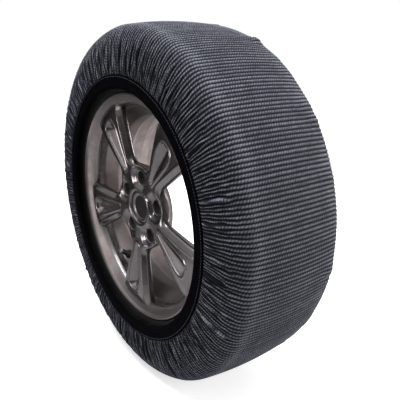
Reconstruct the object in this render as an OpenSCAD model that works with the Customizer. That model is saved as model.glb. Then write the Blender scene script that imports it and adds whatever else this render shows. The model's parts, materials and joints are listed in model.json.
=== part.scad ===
// Snow sock fitted over a car tyre on a five-arm alloy wheel.
// Origin: centre of the wheel. Y is the axle; -Y is the outer, visible face
// and +Y faces the vehicle. +Z is up. Millimetres.
// Sections are drawn as [radius, height], where height runs from the centre
// plane towards the outer face, and are then turned round the axle.

/* [Tyre] */
// Outside diameter of the tyre without the sock
tyre_d = 634; // [628:1:640]
// Width of the tyre over its sidewalls
section_w = 201; // [198:0.5:204]
// Depth of the tread grooves
groove_depth = 8; // [3:0.5:8.5]
// Width of each tread groove
groove_w = 9; // [6:0.5:11]

/* [Sock] */
// Thickness of the ribbed fabric
fabric_t = 3; // [2.4:0.1:3]
// Play between the tyre and the fabric
fabric_gap = 0.8; // [0.75:0.05:0.9]
// Radius of the opening inside the hem
hem_r = 214; // [212:0.5:215]
// Radius where the hem meets the fabric
hem_outer_r = 238; // [237:0.5:240]
// Thickness of the elastic cord in the hem
cord_d = 3.6; // [3:0.1:3.6]
// Angle of the fabric's closing seam round the axle
seam_angle = 262; // [180:1:350]

/* [Wheel] */
// Number of arms, windows and wheel bolts
arms = 5; // [5:1:5]
// Diameter of the wheel's bolt circle
bolt_circle_d = 112; // [110:0.1:114.3]
// Diameter of the bolt holes
bolt_hole_d = 15; // [14:0.1:15.5]
// Diameter of the hub bore
hub_bore_d = 57.1; // [56.6:0.1:57.1]
// Distance from the centre plane to the mounting face
offset_et = 45; // [43:0.5:46]
// Angle of the first bolt hole and window round the axle
first_window = 82; // [60:1:90]
// Half the angle that a window takes up
window_half = 20; // [18:0.5:21]
// Angle of the valve round the axle
valve_angle = 230; // [224:1:240]

/* [Hidden] */
$fn = 96;
tyre_r = tyre_d / 2;                   // tread radius at the crown
tyre_h = section_w / 2;                // half width of the tyre
tread_drop = 1240;                     // tread radius falls by h * h / tread_drop
shoulder_h = 76;                       // where the crown turns into the shoulder
carcass_r = tyre_r - 16.1;             // carcass radius at the crown
carcass_h = tyre_h - 4.2;              // half width of the carcass cords
carcass_drop = 1300;                   // as tread_drop, for the carcass
carcass_crown_h = 72;                  // half width of the carcass crown
seat_r = 190.1;                        // bead seat radius of a 15 inch rim
rim_h = 76.2;                          // half the rim width between the flanges
flange_r = 9.5;                        // flange curve radius
flange_c = [197.9, rim_h + flange_r];  // centre of the flange curve
heel_r = 6.5;                          // bead heel radius
heel_c = [seat_r + heel_r, rim_h - heel_r];
core_c = [198.5, 66.5];                // centre of the steel bead core
loop_r = 6.2;                          // radius of the ply turned round the core
panel_h = tyre_h + 0.95;               // inner face of the sock's side panel

// ---- point lists ---------------------------------------------------------
function slice(line, first, last) = [for (i = [first:last]) line[i]];
function but_first(line) = slice(line, 1, len(line) - 1);
function but_last(line) = slice(line, 0, len(line) - 2);
function reversed(line) = [for (i = [len(line) - 1:-1:0]) line[i]];
function flipped(line) = [for (q = line) [q[0], -q[1]]];
// a line that starts on the centre plane, joined to its mirror image
function both_sides(half) = concat(reversed(flipped(but_first(half))), half);
function unit(v) = v / norm(v);
function towards(start, goal, dist) = start + dist * unit(goal - start);
function polar(radius, angle) = radius * [cos(angle), sin(angle)];
function arc(centre, radius, start, end, steps) = [for (i = [0:steps])
    centre + polar(radius, start + (end - start) * i / steps)];
function bezier(p0, p1, p2, p3, steps) = [for (i = [0:steps]) let (t = i / steps, s = 1 - t)
    s * s * s * p0 + 3 * s * s * t * p1 + 3 * s * t * t * p2 + t * t * t * p3];
// a line moved sideways; a positive dist is away from the tyre's air space
function tangent(line, i) = unit(line[min(i + 1, len(line) - 1)] - line[max(i - 1, 0)]);
function shifted(line, dist) = [for (i = [0:len(line) - 1]) let (along = tangent(line, i))
    line[i] + dist * [along[1], -along[0]]];
// the closed strip between two distances from a line
function band(line, near, far) = concat(shifted(line, far), reversed(shifted(line, near)));

// arc that rounds the corner between two neighbouring points
function corner(before, tip, after, radius, steps) = let (
        back = unit(before - tip), ahead = unit(after - tip),
        half = acos(back * ahead) / 2,
        centre = tip + unit(back + ahead) * radius / sin(half),
        first = tip + back * radius / tan(half) - centre,
        last = tip + ahead * radius / tan(half) - centre,
        start = atan2(first[1], first[0]),
        turn = atan2(last[1], last[0]) - start,
        sweep = turn > 180 ? turn - 360 : turn < -180 ? turn + 360 : turn)
    arc(centre, radius, start, start + sweep, steps);
function rounded(points, radii, steps) = let (count = len(points))
    [for (i = [0:count - 1]) each corner(points[(i + count - 1) % count], points[i],
        points[(i + 1) % count], radii[i], steps)];

// ---- solids --------------------------------------------------------------
// turn a [radius, height] section round the axle
module turned(section) { rotate([90, 0, 0]) rotate_extrude($fn = 180) polygon(section); }
module turned_part(section, start, sweep) {
    rotate([90, 0, 0]) rotate([0, 0, start]) rotate_extrude(angle = sweep, $fn = 180)
        polygon(section);
}
module ring(radius, height, wire_r) {
    rotate([90, 0, 0]) translate([0, 0, height]) rotate_extrude($fn = 180)
        translate([radius, 0]) circle(r = wire_r, $fn = 32);
}
// a shape drawn in the wheel's plane, between two heights
module plate(low, high) {
    rotate([90, 0, 0]) translate([0, 0, low]) linear_extrude(high - low) children();
}
// a round or tapered cutter parallel to the axle
module drill(low, high, low_r, high_r, angle = 0, dist = 0) {
    rotate([90, 0, 0]) rotate([0, 0, angle]) translate([dist, 0, low])
        cylinder(r1 = low_r, r2 = high_r, h = high - low, $fn = 64);
}

// ---- tyre lines, outer half ----------------------------------------------
function carcass_at(h) = [carcass_r - h * h / carcass_drop, h];
function tread_at(h) = [tyre_r - h * h / tread_drop, h];
function crown(half_w, steps) = [for (i = [0:steps]) carcass_at(half_w * i / steps)];

// carcass: crown, side, down to the bead, round the core and up again
widest_r = 252;
crown_line = crown(carcass_crown_h, 12);
side_line = bezier(carcass_at(carcass_crown_h), [carcass_r - 6.4, 90],
    [carcass_r - 24.9, carcass_h], [widest_r, carcass_h], 20);
bead_line = bezier([widest_r, carcass_h], [232, carcass_h], [222, 66],
    [203, core_c[1] - loop_r], 16);
loop_line = [for (i = [0:12]) let (a = 180 * i / 12) core_c + loop_r * [-sin(a), -cos(a)]];
turnup_line = bezier(core_c + [0, loop_r], [207, core_c[1] + loop_r], [219, 84.5], [231, 90], 12);
liner_half = concat(but_last(crown_line), but_last(side_line), bead_line);
ply_half = concat(liner_half, but_last(loop_line), turnup_line);

// outer surface from the shoulder to the widest point, then to the rim
surface_widest_r = 256;
shoulder_line = bezier(tread_at(shoulder_h), [tyre_r - 7, tyre_h - 7.5],
    [tyre_r - 31, tyre_h], [surface_widest_r, tyre_h], 20);
lower_line = bezier([surface_widest_r, tyre_h], [238, tyre_h], [226, 91.5], [210.2, 88], 12);

// ---- tyre ----------------------------------------------------------------
tread_end = 7;          // last tread point on shoulder_line
tread_end_in = 6;       // last tread point on side_line
joint_gap = 0.15;       // play between tread and sidewall
side_gap = 0.7;         // carcass line to the rubber outside it
bead_gap = 0.72;        // carcass line to the rubber round the bead
rim_gap = 0.1;          // play between tyre and rim
groove_taper = 1.2;     // how far each groove wall leans in
sidewall_colour = [0.05, 0.05, 0.055];
core_colour = [0.72, 0.55, 0.3];
filler_colour = [0.16, 0.15, 0.15];

function groove(middle) = let (
        half = groove_w / 2, foot = half - groove_taper,
        floor_r = tread_at(middle)[0] - groove_depth)
    [tread_at(middle - half), [floor_r, middle - foot],
     [floor_r, middle + foot], tread_at(middle + half)];
module tread() {
    top = slice(shoulder_line, 0, tread_end);
    edge = slice(shifted(side_line, side_gap), 3, tread_end_in);
    underside = shifted(crown(74, 12), 4.2);
    color([0.06, 0.06, 0.065]) turned(concat(
        reversed(flipped(top)),
        [tread_at(-62)], groove(-48), [tread_at(-32)], groove(-17), [tread_at(0)],
        groove(17), [tread_at(32)], groove(48), [tread_at(62)],
        top, reversed(edge), reversed(both_sides(underside)), flipped(edge)));
}

function crown_band(half_w, near, far) = band(both_sides(crown(half_w, 14)), near, far);
module cap_ply() { color([0.75, 0.72, 0.62]) turned(crown_band(72.5, near = 3.3, far = 4.1)); }
module outer_belt() { color([0.55, 0.5, 0.42]) turned(crown_band(66, near = 2.0, far = 3.2)); }
module inner_belt() { color([0.5, 0.46, 0.4]) turned(crown_band(70, near = 0.7, far = 1.9)); }
module carcass_ply() { color([0.7, 0.66, 0.55]) turned(band(both_sides(ply_half), -0.6, 0.6)); }
module inner_liner() { color([0.12, 0.12, 0.13]) turned(band(both_sides(liner_half), -2.1, -0.7)); }

function sidewall_section() = let (
        outside = concat(
            [towards(shoulder_line[tread_end], shoulder_line[tread_end + 1], joint_gap)],
            slice(shoulder_line, tread_end + 1, 19), lower_line),
        rim_side = concat([[208.5, 85.9]],
            arc(flange_c, flange_r + rim_gap, -10, -90, 8),
            arc(heel_c, heel_r - rim_gap, 90, 180, 6),
            [[seat_r - 1.2, 57.6], [seat_r - 0.5, 56.6], [194, 56.8], [202.8, 58.1]]),
        // the last two bead points only set the direction at the loop's start
        turnup = but_first(but_first(shifted(
            concat(slice(bead_line, 15, 16), but_last(loop_line), turnup_line), -bead_gap))),
        last = len(turnup) - 1,
        turnup_end = towards(turnup[last], turnup[last - 1], -1.0),
        inside = shifted(concat(but_last(side_line), bead_line), side_gap))
    concat(outside, rim_side, turnup, [turnup_end],
        reversed(slice(inside, tread_end_in + 1, 24)),
        [towards(inside[tread_end_in], inside[tread_end_in + 1], joint_gap)]);
module outer_sidewall() { color(sidewall_colour) turned(sidewall_section()); }
module inner_sidewall() { color(sidewall_colour) turned(flipped(sidewall_section())); }

// [radius, height] from core_c
core_outline = [[-3.5, -2.6], [-2.2, -4.2], [2.2, -4.2], [3.5, -2.6],
    [3.5, 2.6], [2.2, 4.2], [-2.2, 4.2], [-3.5, 2.6]];
core_section = [for (q = core_outline) core_c + q];
module outer_bead_core() { color(core_colour) turned(core_section); }
module inner_bead_core() { color(core_colour) turned(flipped(core_section)); }

// fills the wedge between the ply going down and the ply coming up
function filler_section() = let (
        foot_r = 202.3,
        down = shifted(bead_line, bead_gap), up = shifted(turnup_line, bead_gap))
    concat(slice(down, 6, 15), [[foot_r, down[16][1]], [foot_r, up[0][1]]], slice(up, 2, 12));
module outer_bead_filler() { color(filler_colour) turned(filler_section()); }
module inner_bead_filler() { color(filler_colour) turned(flipped(filler_section())); }

// ---- sock ----------------------------------------------------------------
hem_t = 6.8;                     // thickness of the padded hem
hem_h = panel_h + 1.5;           // centre of the hem's section
hem_low = hem_h - hem_t / 2;
hem_top = hem_h + hem_t / 2;
hem_round = 3;                   // rounding of the hem's edge at the opening
slot_gap = 0.15;                 // play round the fabric in the hem
slot_depth = 7;                  // depth of the hem's slot for the fabric
cord_r = hem_r + 6;              // radius of the elastic cord's ring
channel_r = 2.4;                 // section radius of the cord's channel
crimp_r = 2.3;                   // section radius of the crimp
thread_r = hem_outer_r - 3.5;    // radius of the hem's stitch line
hem_colour = [0.03, 0.03, 0.035];
cord_colour = [0.85, 0.85, 0.82];
crimp_colour = [0.7, 0.7, 0.72];
thread_colour = [0.12, 0.12, 0.13];

// inner face of the fabric; the crown steps stop just short of the shoulder
fabric_half = concat(
    [for (i = [0:10]) tread_at(shoulder_h * i / 10.5) + [fabric_gap, 0]],
    shifted(shoulder_line, fabric_gap),
    [[247, panel_h], [239, panel_h], [hem_outer_r - 6.6, panel_h]]);
fabric_line = both_sides(fabric_half);
module sock_fabric() { color([0.2, 0.21, 0.23]) turned(band(fabric_line, 0, fabric_t)); }
module seam_tape() {
    covered = slice(fabric_line, 6, len(fabric_line) - 7);
    color([0.1, 0.1, 0.11]) turned_part(band(covered, -0.55, -0.1), seam_angle, 3.6);
}

// padded hem: a folded band with a slot for the fabric's edge, a channel for
// the cord and a shallow groove for the stitching
module hem_section() {
    slot_r = hem_outer_r - slot_depth;
    slot_low = panel_h - slot_gap;
    slot_top = panel_h + fabric_t + slot_gap;
    difference() {
        polygon(concat(
            arc([hem_r + hem_round, hem_low + hem_round], hem_round, 180, 270, 8),
            [[hem_outer_r, hem_low], [hem_outer_r, slot_low], [slot_r, slot_low],
             [slot_r, slot_top], [hem_outer_r, slot_top],
             [hem_outer_r, hem_top - 0.6], [hem_outer_r - 1.2, hem_top]],
            arc([hem_r + hem_round, hem_top - hem_round], hem_round, 90, 180, 8)));
        translate([cord_r, hem_h]) circle(r = channel_r, $fn = 32);
        translate([thread_r, hem_top]) circle(r = 0.55, $fn = 24);
    }
}
// In the modules below, side is 1 for the outer face and -1 for the vehicle side.
module hem(side) {
    color(hem_colour) rotate([side * 90, 0, 0]) rotate_extrude($fn = 180) hem_section();
}
module elastic_cord(side) { color(cord_colour) ring(cord_r, side * hem_h, cord_d / 2); }
module cord_crimp(side) {
    color(crimp_colour) rotate([90, 0, 0]) translate([0, 0, side * hem_h])
        rotate([0, 0, seam_angle]) rotate_extrude(angle = 4, $fn = 180)
            translate([cord_r, 0]) difference() {
                circle(r = crimp_r, $fn = 32);
                circle(r = cord_d / 2 + 0.08, $fn = 32);
            }
}
module hem_thread(side) { color(thread_colour) ring(thread_r, side * hem_top, 0.45); }
module outer_hem() { hem(1); }
module inner_hem() { hem(-1); }
module outer_elastic_cord() { elastic_cord(1); }
module inner_elastic_cord() { elastic_cord(-1); }
module outer_cord_crimp() { cord_crimp(1); }
module inner_cord_crimp() { cord_crimp(-1); }
module outer_hem_thread() { hem_thread(1); }
module inner_hem_thread() { hem_thread(-1); }

// ---- wheel ---------------------------------------------------------------
hub_face = 74;          // outer face of the hub
bolt_seat_r = 12.8;     // wide end of the bolt's cone
bolt_seat_h = 61.2;     // height of that end
arm_step = 360 / arms;

// tyre side of the rim: flange, bead seat and hump, then the drop well
rim_edge = concat([[205.5, 88.4], [207, 87.6]],
    arc(flange_c, flange_r, 0, -90, 8),
    arc(heel_c, heel_r, 90, 180, 6),
    [[188.7, 56.5], [189.6, 53.5], [189.6, 51.5]]);
drop_well = [[187.5, 48], [170.5, 31], [170.5, 28], [170.5, 8],
    [180, -4], [181.5, -30], [187.5, -46]];
rim_out = concat([[203, 88.4]], rim_edge, drop_well, reversed(flipped(rim_edge)), [[202, -88.4]]);
// axle side of the barrel, from the vehicle side to the outer face
rim_in = [[198.4, -87.2], [194, -81.2], [188, -77.8], [184, -75.4], [182.5, -72], [182.5, -52],
    [181, -47.5], [175.5, -31], [174.2, -6], [164.8, 4.5], [164.3, 8], [164.3, 29.5],
    [165, 31.7], [183, 49.7], [183.2, 52], [183.6, 64], [185.6, 70.5], [189.5, 76.5],
    [195, 80.3], [200.2, 83.6], [202, 87.4]];
// disc the arms are cut from: out along its vehicle side, back along its outer face
disc_section = [[0, offset_et], [72, offset_et], [75, offset_et + 6], [82, 59], [105, 61],
    [150, 62.5], [185, 63], [187, 70], [193, 77.3], [195.5, 79.3], [190, 81.6],
    [170, 82.2], [140, 81], [105, 78.4], [78, 75.2], [62, hub_face], [0, hub_face]];

// outlines in the wheel's plane, centred on the x axis, and their corner radii
window_shape = rounded([polar(83, 20), polar(83, -20), polar(197, -window_half - 0.6),
    polar(200, -10), polar(200, 10), polar(197, window_half + 0.6)], [15, 15, 9, 60, 60, 9], 8);
// the U-shaped pocket in the middle of an arm, and the narrow slot along its floor
pocket_shape = rounded([[73, 3.4], [73, -3.4], [146, -16.5], [172, -16.5], [172, 16.5],
    [146, 16.5]], [3, 3, 60, 14, 14, 60], 8);
slot_shape = rounded([[82, 1.4], [82, -1.4], [150, -5.6], [168, -5.6], [168, 5.6],
    [150, 5.6]], [1.2, 1.2, 40, 5.2, 5.2, 40], 6);

module arm_disc() {
    difference() {
        turned(disc_section);
        for (i = [0:arms - 1]) {
            rotate([0, -(first_window + i * arm_step), 0]) plate(30, 100) polygon(window_shape);
            rotate([0, -(first_window + arm_step / 2 + i * arm_step), 0]) {
                plate(69, 100) polygon(pocket_shape);
                plate(65.5, 100) polygon(slot_shape);
            }
        }
    }
}
module bolt_hole(angle) {
    dist = bolt_circle_d / 2;
    hole_r = bolt_hole_d / 2;
    drill(offset_et - 1, 60, hole_r, hole_r, angle, dist);
    drill(56, bolt_seat_h, hole_r, bolt_seat_r, angle, dist);
    drill(bolt_seat_h, 90, bolt_seat_r, bolt_seat_r, angle, dist);
}
module alloy_wheel() {
    color([0.5, 0.49, 0.47]) difference() {
        union() {
            turned(concat(rim_out, rim_in));
            arm_disc();
        }
        // hub bore, cap bore and cap recess
        drill(offset_et - 1, 58, hub_bore_d / 2, hub_bore_d / 2);
        drill(57, hub_face + 1, 28, 28);
        drill(hub_face - 7, hub_face + 1, 30.6, 30.6);
        for (i = [0:arms - 1]) bolt_hole(first_window + i * arm_step);
        // valve hole through the slope of the drop well
        on_valve() translate([0, 0, -12]) cylinder(r = 5.75, h = 24, $fn = 64);
    }
}

// [radius, height] of the cap's disc and its skirt with a lip
cap_section = [[0, 67.2], [25.4, 67.2], [25.4, 58.3], [27.4, 58.3], [27.8, 59.3], [27.8, 67.2],
    [30, 67.2], [30, 69.4], [29, 70.3], [26.5, 70.3], [24.5, 69.2], [20, 68.8], [0, 68.6]];
module centre_cap() {
    color([0.07, 0.07, 0.075]) difference() {
        turned(cap_section);
        // eight notches in the skirt
        for (i = [0:7]) rotate([0, i * 45, 0]) translate([22, -65, -2]) cube([8, 8, 4]);
    }
}
module cap_spring_ring() { color([0.7, 0.7, 0.72]) ring(radius = 24.4, height = 61.5, wire_r = 0.8); }

// ---- valve ---------------------------------------------------------------
valve_c = [177.2, 40.8];         // middle of the barrel wall at the valve
valve_tilt = 45;                 // lean of the valve from the axle's direction

// places its children on the valve's axis, +Z towards the axle and the outer face
module on_valve() {
    rotate([0, -valve_angle, 0]) translate([valve_c[0], -valve_c[1], 0])
        rotate([0, 0, -valve_tilt]) rotate([90, 0, 0]) children();
}
// turns a section of [radius, place along the valve's axis]
module spun(section) { rotate_extrude($fn = 64) polygon(section); }
module valve_body() {
    color([0.05, 0.05, 0.05]) on_valve() spun([[2.75, -16], [5.2, -16], [6.4, -13], [7.9, -6],
        [7.9, -2.7], [5.6, -2.3], [5.6, 2.4], [9.2, 2.7], [9.2, 4.0], [7.6, 6.0], [6.6, 9],
        [5.9, 16], [4.9, 27.5], [4.6, 28], [2.75, 28]]);
}
module valve_insert() {
    color([0.75, 0.62, 0.35]) on_valve() spun([[1.65, -15], [2.65, -15], [2.65, 28.2],
        [3.85, 28.2], [3.85, 38.2], [3.4, 38.8], [1.65, 38.8]]);
}
module valve_core() {
    color([0.8, 0.68, 0.4]) on_valve()
        spun([[0.55, 22], [1.3, 22], [1.58, 24], [1.58, 36], [0.55, 36]]);
}
module valve_core_pin() {
    color([0.85, 0.75, 0.5]) on_valve()
        spun([[0, 18.5], [1.2, 18.5], [1.2, 20.5], [0.5, 21.6], [0.5, 37.6], [0, 38.0]]);
}
module valve_cap() {
    color([0.06, 0.06, 0.06]) on_valve() difference() {
        spun([[0, 39.6], [3.0, 39.6], [3.93, 38.9], [3.93, 29.2], [4.9, 29.2], [5.0, 30],
            [5.0, 40.2], [4.2, 41.4], [0, 41.6]]);
        // grip flutes
        for (i = [0:11]) rotate([0, 0, i * 30]) translate([5.35, 0, 28])
            cylinder(r = 0.6, h = 11, $fn = 24);
    }
}

// ---- balance weights, inside the barrel on the vehicle side --------------
weight_start = 300;     // angle of the first weight
weight_pitch = 6.2;     // angle from one weight to the next
weight_section = [[178.4, -69.8], [179.2, -70.6], [181.6, -70.6],
    [181.6, -54.9], [179.2, -54.9], [178.4, -55.7]];
tape_section = [[181.7, -71], [182.4, -71], [182.4, -54.5], [181.7, -54.5]];
module balance_weights() {
    color([0.62, 0.63, 0.65]) for (i = [0:5])
        turned_part(weight_section, weight_start + i * weight_pitch, sweep = 5.8);
}
module weight_tape() {
    color([0.1, 0.1, 0.1]) turned_part(tape_section, weight_start - 0.2, sweep = 37.4);
}

alloy_wheel();
centre_cap();
cap_spring_ring();
valve_body();
valve_insert();
valve_core();
valve_core_pin();
valve_cap();
balance_weights();
weight_tape();
tread();
cap_ply();
outer_belt();
inner_belt();
carcass_ply();
inner_liner();
outer_sidewall();
inner_sidewall();
outer_bead_core();
inner_bead_core();
outer_bead_filler();
inner_bead_filler();
sock_fabric();
seam_tape();
outer_hem();
outer_elastic_cord();
outer_cord_crimp();
outer_hem_thread();
inner_hem();
inner_elastic_cord();
inner_cord_crimp();
inner_hem_thread();
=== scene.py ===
"""A car wheel with its tyre inside a ribbed textile sock with hemmed edges.

The axle is the Y axis through the origin, the outer side of the wheel faces -Y and Z is up.
Sections are drawn as (radius, height) in millimetres, where height = -y, so the outer side
has positive heights. Angles run round the axle from +X towards +Z.
"""
import bpy, json, math
import numpy as np
from mathutils import Vector, Matrix
from mathutils.geometry import delaunay_2d_cdt
from mathutils.kdtree import KDTree


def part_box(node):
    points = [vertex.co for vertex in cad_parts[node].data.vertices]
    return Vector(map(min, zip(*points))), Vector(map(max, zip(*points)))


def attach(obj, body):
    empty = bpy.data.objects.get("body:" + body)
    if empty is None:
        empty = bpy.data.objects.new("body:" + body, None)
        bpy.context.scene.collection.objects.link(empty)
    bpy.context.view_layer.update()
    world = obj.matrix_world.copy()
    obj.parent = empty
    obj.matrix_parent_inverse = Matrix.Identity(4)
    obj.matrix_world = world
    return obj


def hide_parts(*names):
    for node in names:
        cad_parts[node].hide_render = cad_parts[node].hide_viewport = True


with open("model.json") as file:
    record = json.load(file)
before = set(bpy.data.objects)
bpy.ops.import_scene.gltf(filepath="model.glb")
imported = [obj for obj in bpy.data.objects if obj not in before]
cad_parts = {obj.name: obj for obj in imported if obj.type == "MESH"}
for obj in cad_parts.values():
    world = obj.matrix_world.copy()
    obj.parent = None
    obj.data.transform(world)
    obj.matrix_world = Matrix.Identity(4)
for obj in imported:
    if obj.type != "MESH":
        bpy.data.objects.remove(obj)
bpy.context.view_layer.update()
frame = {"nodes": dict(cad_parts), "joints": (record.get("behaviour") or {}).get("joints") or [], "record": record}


SLOT = {part["node"]: part["material_slot"] for part in frame["record"]["subparts"]}

# ---------------------------------------------------------------- driving dimensions
MM = 1000.0                                     # millimetres in a metre
TREAD_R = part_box("tread")[1].z * MM
SIDE_H = -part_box("outer_sidewall")[0].y * MM
FABRIC_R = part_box("sock_fabric")[1].z * MM
HEM_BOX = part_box("outer_hem")
HEM_LO, HEM_HI = -HEM_BOX[1].y * MM, -HEM_BOX[0].y * MM
HEM_MID = (HEM_LO + HEM_HI) / 2
HEM_OUT = HEM_BOX[1].z * MM
CORD_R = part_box("outer_elastic_cord")[1].z * MM - 1.8       # to the middle of the cord
HEM_IN = CORD_R - 6.0
THREAD_R = HEM_OUT - 3.5
GAP = 0.8                                       # between tyre and fabric
FABRIC_T = FABRIC_R - TREAD_R - GAP
PANEL_H = SIDE_H + 0.95                         # underside of the fabric on the tyre's side
SHOULDER_H = 76.0
SIDE_R = 256.0                                  # where the tyre's side is widest
SEAM = math.radians(263.8)                      # place of the seam across the tread
RIBS = 304
COLUMNS_PER_RIB = 8

# rim arcs that the tyre's bead lies on
FLANGE_C, FLANGE_R = (197.9, 85.7), 9.5
HEEL_C, HEEL_R = (196.6, 69.7), 6.5


# ---------------------------------------------------------------- curve helpers
def bezier(a, b, c, d, steps):
    t = np.linspace(0, 1, steps + 1)[:, None]
    a, b, c, d = map(np.array, (a, b, c, d))
    return (1 - t) ** 3 * a + 3 * (1 - t) ** 2 * t * b + 3 * (1 - t) * t * t * c + t ** 3 * d


def arc(centre, radius, start, end, steps):
    a = np.radians(np.linspace(start, end, steps + 1))
    return np.stack([centre[0] + radius * np.cos(a), centre[1] + radius * np.sin(a)], -1)


def tangents(points):
    t = np.zeros_like(points)
    t[1:-1] = points[2:] - points[:-2]
    t[0], t[-1] = points[1] - points[0], points[-1] - points[-2]
    return t / np.linalg.norm(t, axis=1)[:, None]


def normals_2d(points):
    """Unit normals to the right of the direction of travel."""
    t = tangents(points)
    return np.stack([t[:, 1], -t[:, 0]], -1)


def offset(points, distance):
    return points + distance * normals_2d(points)


def flip(points):
    """Mirrors a section to the other side of the wheel."""
    mirrored = np.array(points, float)
    mirrored[:, 1] *= -1
    return mirrored


def toward(start, other, distance):
    return start + distance * (other - start) / np.linalg.norm(other - start)


def distances(points):
    """Distance along a polyline to each of its points."""
    return np.concatenate([[0], np.cumsum(np.linalg.norm(np.diff(points, axis=0), axis=1))])


def points_at(points, along, places):
    return np.stack([np.interp(places, along, points[:, 0]),
                     np.interp(places, along, points[:, 1])], -1)


def fillet(points, radius, steps=4, closed=True):
    """Rounds each corner with a parabola. radius is one value or one per corner."""
    points = np.array(points, float)
    count = len(points)
    radii = np.full(count, radius, float) if np.isscalar(radius) else np.array(radius, float)
    out = []
    for i in range(count):
        if not closed and i in (0, count - 1):
            out.append(points[i])
            continue
        corner = points[i]
        u, v = points[i - 1] - corner, points[(i + 1) % count] - corner
        len_u, len_v = np.linalg.norm(u), np.linalg.norm(v)
        u, v = u / len_u, v / len_v
        half = math.acos(float(np.clip(u @ v, -1, 1))) / 2
        if half > math.radians(87) or radii[i] <= 0:
            out.append(corner)
            continue
        cut = min(radii[i] / math.tan(half), 0.45 * len_u, 0.45 * len_v)
        for t in np.linspace(0, 1, steps + 1):
            out.append((1 - t) ** 2 * (corner + u * cut) + 2 * t * (1 - t) * corner
                       + t * t * (corner + v * cut))
    return np.array(out)


def clockwise(section):
    section = np.array(section, float)
    x, y = section[:, 0], section[:, 1]
    area = 0.5 * np.sum(x * np.roll(y, -1) - np.roll(x, -1) * y)
    return section[::-1] if area > 0 else section


def drop_repeats(section, gap=0.05):
    """Leaves out the points that lie on the one before them."""
    section = np.array(section, float)
    return section[[i for i in range(len(section))
                    if np.linalg.norm(section[i] - section[i - 1]) > gap]]


def smoothstep(x):
    x = np.clip(x, 0, 1)
    return x * x * (3 - 2 * x)


def angles_round(count):
    return np.arange(count) / count * 2 * np.pi


def angle_from(angles, centre):
    """Signed angle from centre, within half a turn."""
    return np.angle(np.exp(1j * (angles - centre)))


class Fourier:
    """A smooth random field that closes on itself round the axle. Values are about -1 to 1."""

    def __init__(self, seed, count, low, high, drift):
        r = np.random.RandomState(seed)
        self.around = r.randint(low, high + 1, count)
        self.across = r.normal(0, drift, count)
        self.phase = r.uniform(0, 2 * np.pi, count)
        self.size = r.uniform(0.5, 1.0, count)
        self.norm = np.sqrt((self.size ** 2).sum() / 2)

    def __call__(self, angles, s):
        out = 0
        for n, m, p, a in zip(self.around, self.across, self.phase, self.size):
            out = out + a * np.cos(n * angles + m * s + p)
        return out / self.norm / 1.8


# ---------------------------------------------------------------- mesh helpers
def add_mesh(name, points, faces):
    me = bpy.data.meshes.new(name)
    me.from_pydata(points, [], faces)
    me.update()
    obj = bpy.data.objects.new(name, me)
    bpy.context.scene.collection.objects.link(obj)
    return obj


def smooth_object(name, points, faces, sharp=None):
    """A smooth-shaded object from points in millimetres; sharp is the hard edge angle."""
    obj = add_mesh(name, (np.asarray(points) / MM).tolist(), faces)
    me = obj.data
    me.validate()
    me.polygons.foreach_set("use_smooth", [True] * len(me.polygons))
    if sharp is not None:
        me.set_sharp_from_angle(angle=math.radians(sharp))
    me.update()
    return obj


def reverse_faces(faces):
    return [tuple(reversed(f)) for f in faces]


def grid_faces(rows, cols, wrap_rows=False, base=0):
    """Quads of a rows x cols grid stored row by row, closed round its columns."""
    r, c = np.meshgrid(np.arange(rows if wrap_rows else rows - 1), np.arange(cols), indexing="ij")
    r1, c1 = (r + 1) % rows, (c + 1) % cols
    quads = np.stack([r * cols + c, r * cols + c1, r1 * cols + c1, r1 * cols + c], -1)
    return (quads.reshape(-1, 4) + base).tolist()


def turn(radius, height, angles):
    """Points round the axle; radius and height are columns or whole grids."""
    return np.stack([radius * np.cos(angles), -height + 0 * angles, radius * np.sin(angles)], -1)


def turn_section(section, segments):
    return turn(section[:, :1], section[:, 1:], angles_round(segments))


def lathe(name, section, segments):
    """Turns a closed section round the axle."""
    section = clockwise(section)
    points = turn_section(section, segments).reshape(-1, 3)
    return smooth_object(name, points, grid_faces(len(section), segments, wrap_rows=True), sharp=35)


def axes_across(direction):
    """The unit direction and two unit axes square to it."""
    z = Vector(direction).normalized()
    x = z.orthogonal().normalized()
    return np.array(z), np.array(x), np.array(z.cross(x))


def strip_faces(rows, segments):
    """Faces between rows of point numbers; a row of one point closes to a tip."""
    faces = []
    for low, high in rows:
        for k in range(segments):
            k2 = (k + 1) % segments
            if len(low) == 1:
                faces.append((low[0], high[k2], high[k]))
            elif len(high) == 1:
                faces.append((low[k], low[k2], high[0]))
            else:
                faces.append((low[k], low[k2], high[k2], high[k]))
    return faces


def axis_lathe(name, section, origin, direction, segments, sharp):
    """Turns a section of (radius, distance along) about any axis.

    Ends on the axis become tips; otherwise the last row joins the first."""
    z, x, y = axes_across(direction)
    points, rows = [], []
    for radius, along in section:
        centre = np.array(origin) + z * along
        if radius < 1e-6:
            rows.append([len(points)])
            points.append(centre)
        else:
            rows.append(list(range(len(points), len(points) + segments)))
            points += [centre + radius * (math.cos(t) * x + math.sin(t) * y)
                       for t in angles_round(segments)]
    pairs = list(zip(rows, rows[1:]))
    if len(rows[0]) > 1:
        pairs.append((rows[-1], rows[0]))
    return smooth_object(name, np.array(points), strip_faces(pairs, segments), sharp=sharp)


def put_attr(obj, name, values):
    attribute = obj.data.attributes.new(name, "FLOAT", "POINT")
    attribute.data.foreach_set("value", np.asarray(values, np.float32).ravel())


# ---------------------------------------------------------------- the sock's section
def crown_out(h):
    """Radius of the tyre's crown at a height."""
    return TREAD_R - h * h / 1240.0


SHOULDER = ([crown_out(SHOULDER_H), SHOULDER_H], [TREAD_R - 7, SIDE_H - 7.5],
            [TREAD_R - 31, SIDE_H], [SIDE_R, SIDE_H])


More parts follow.
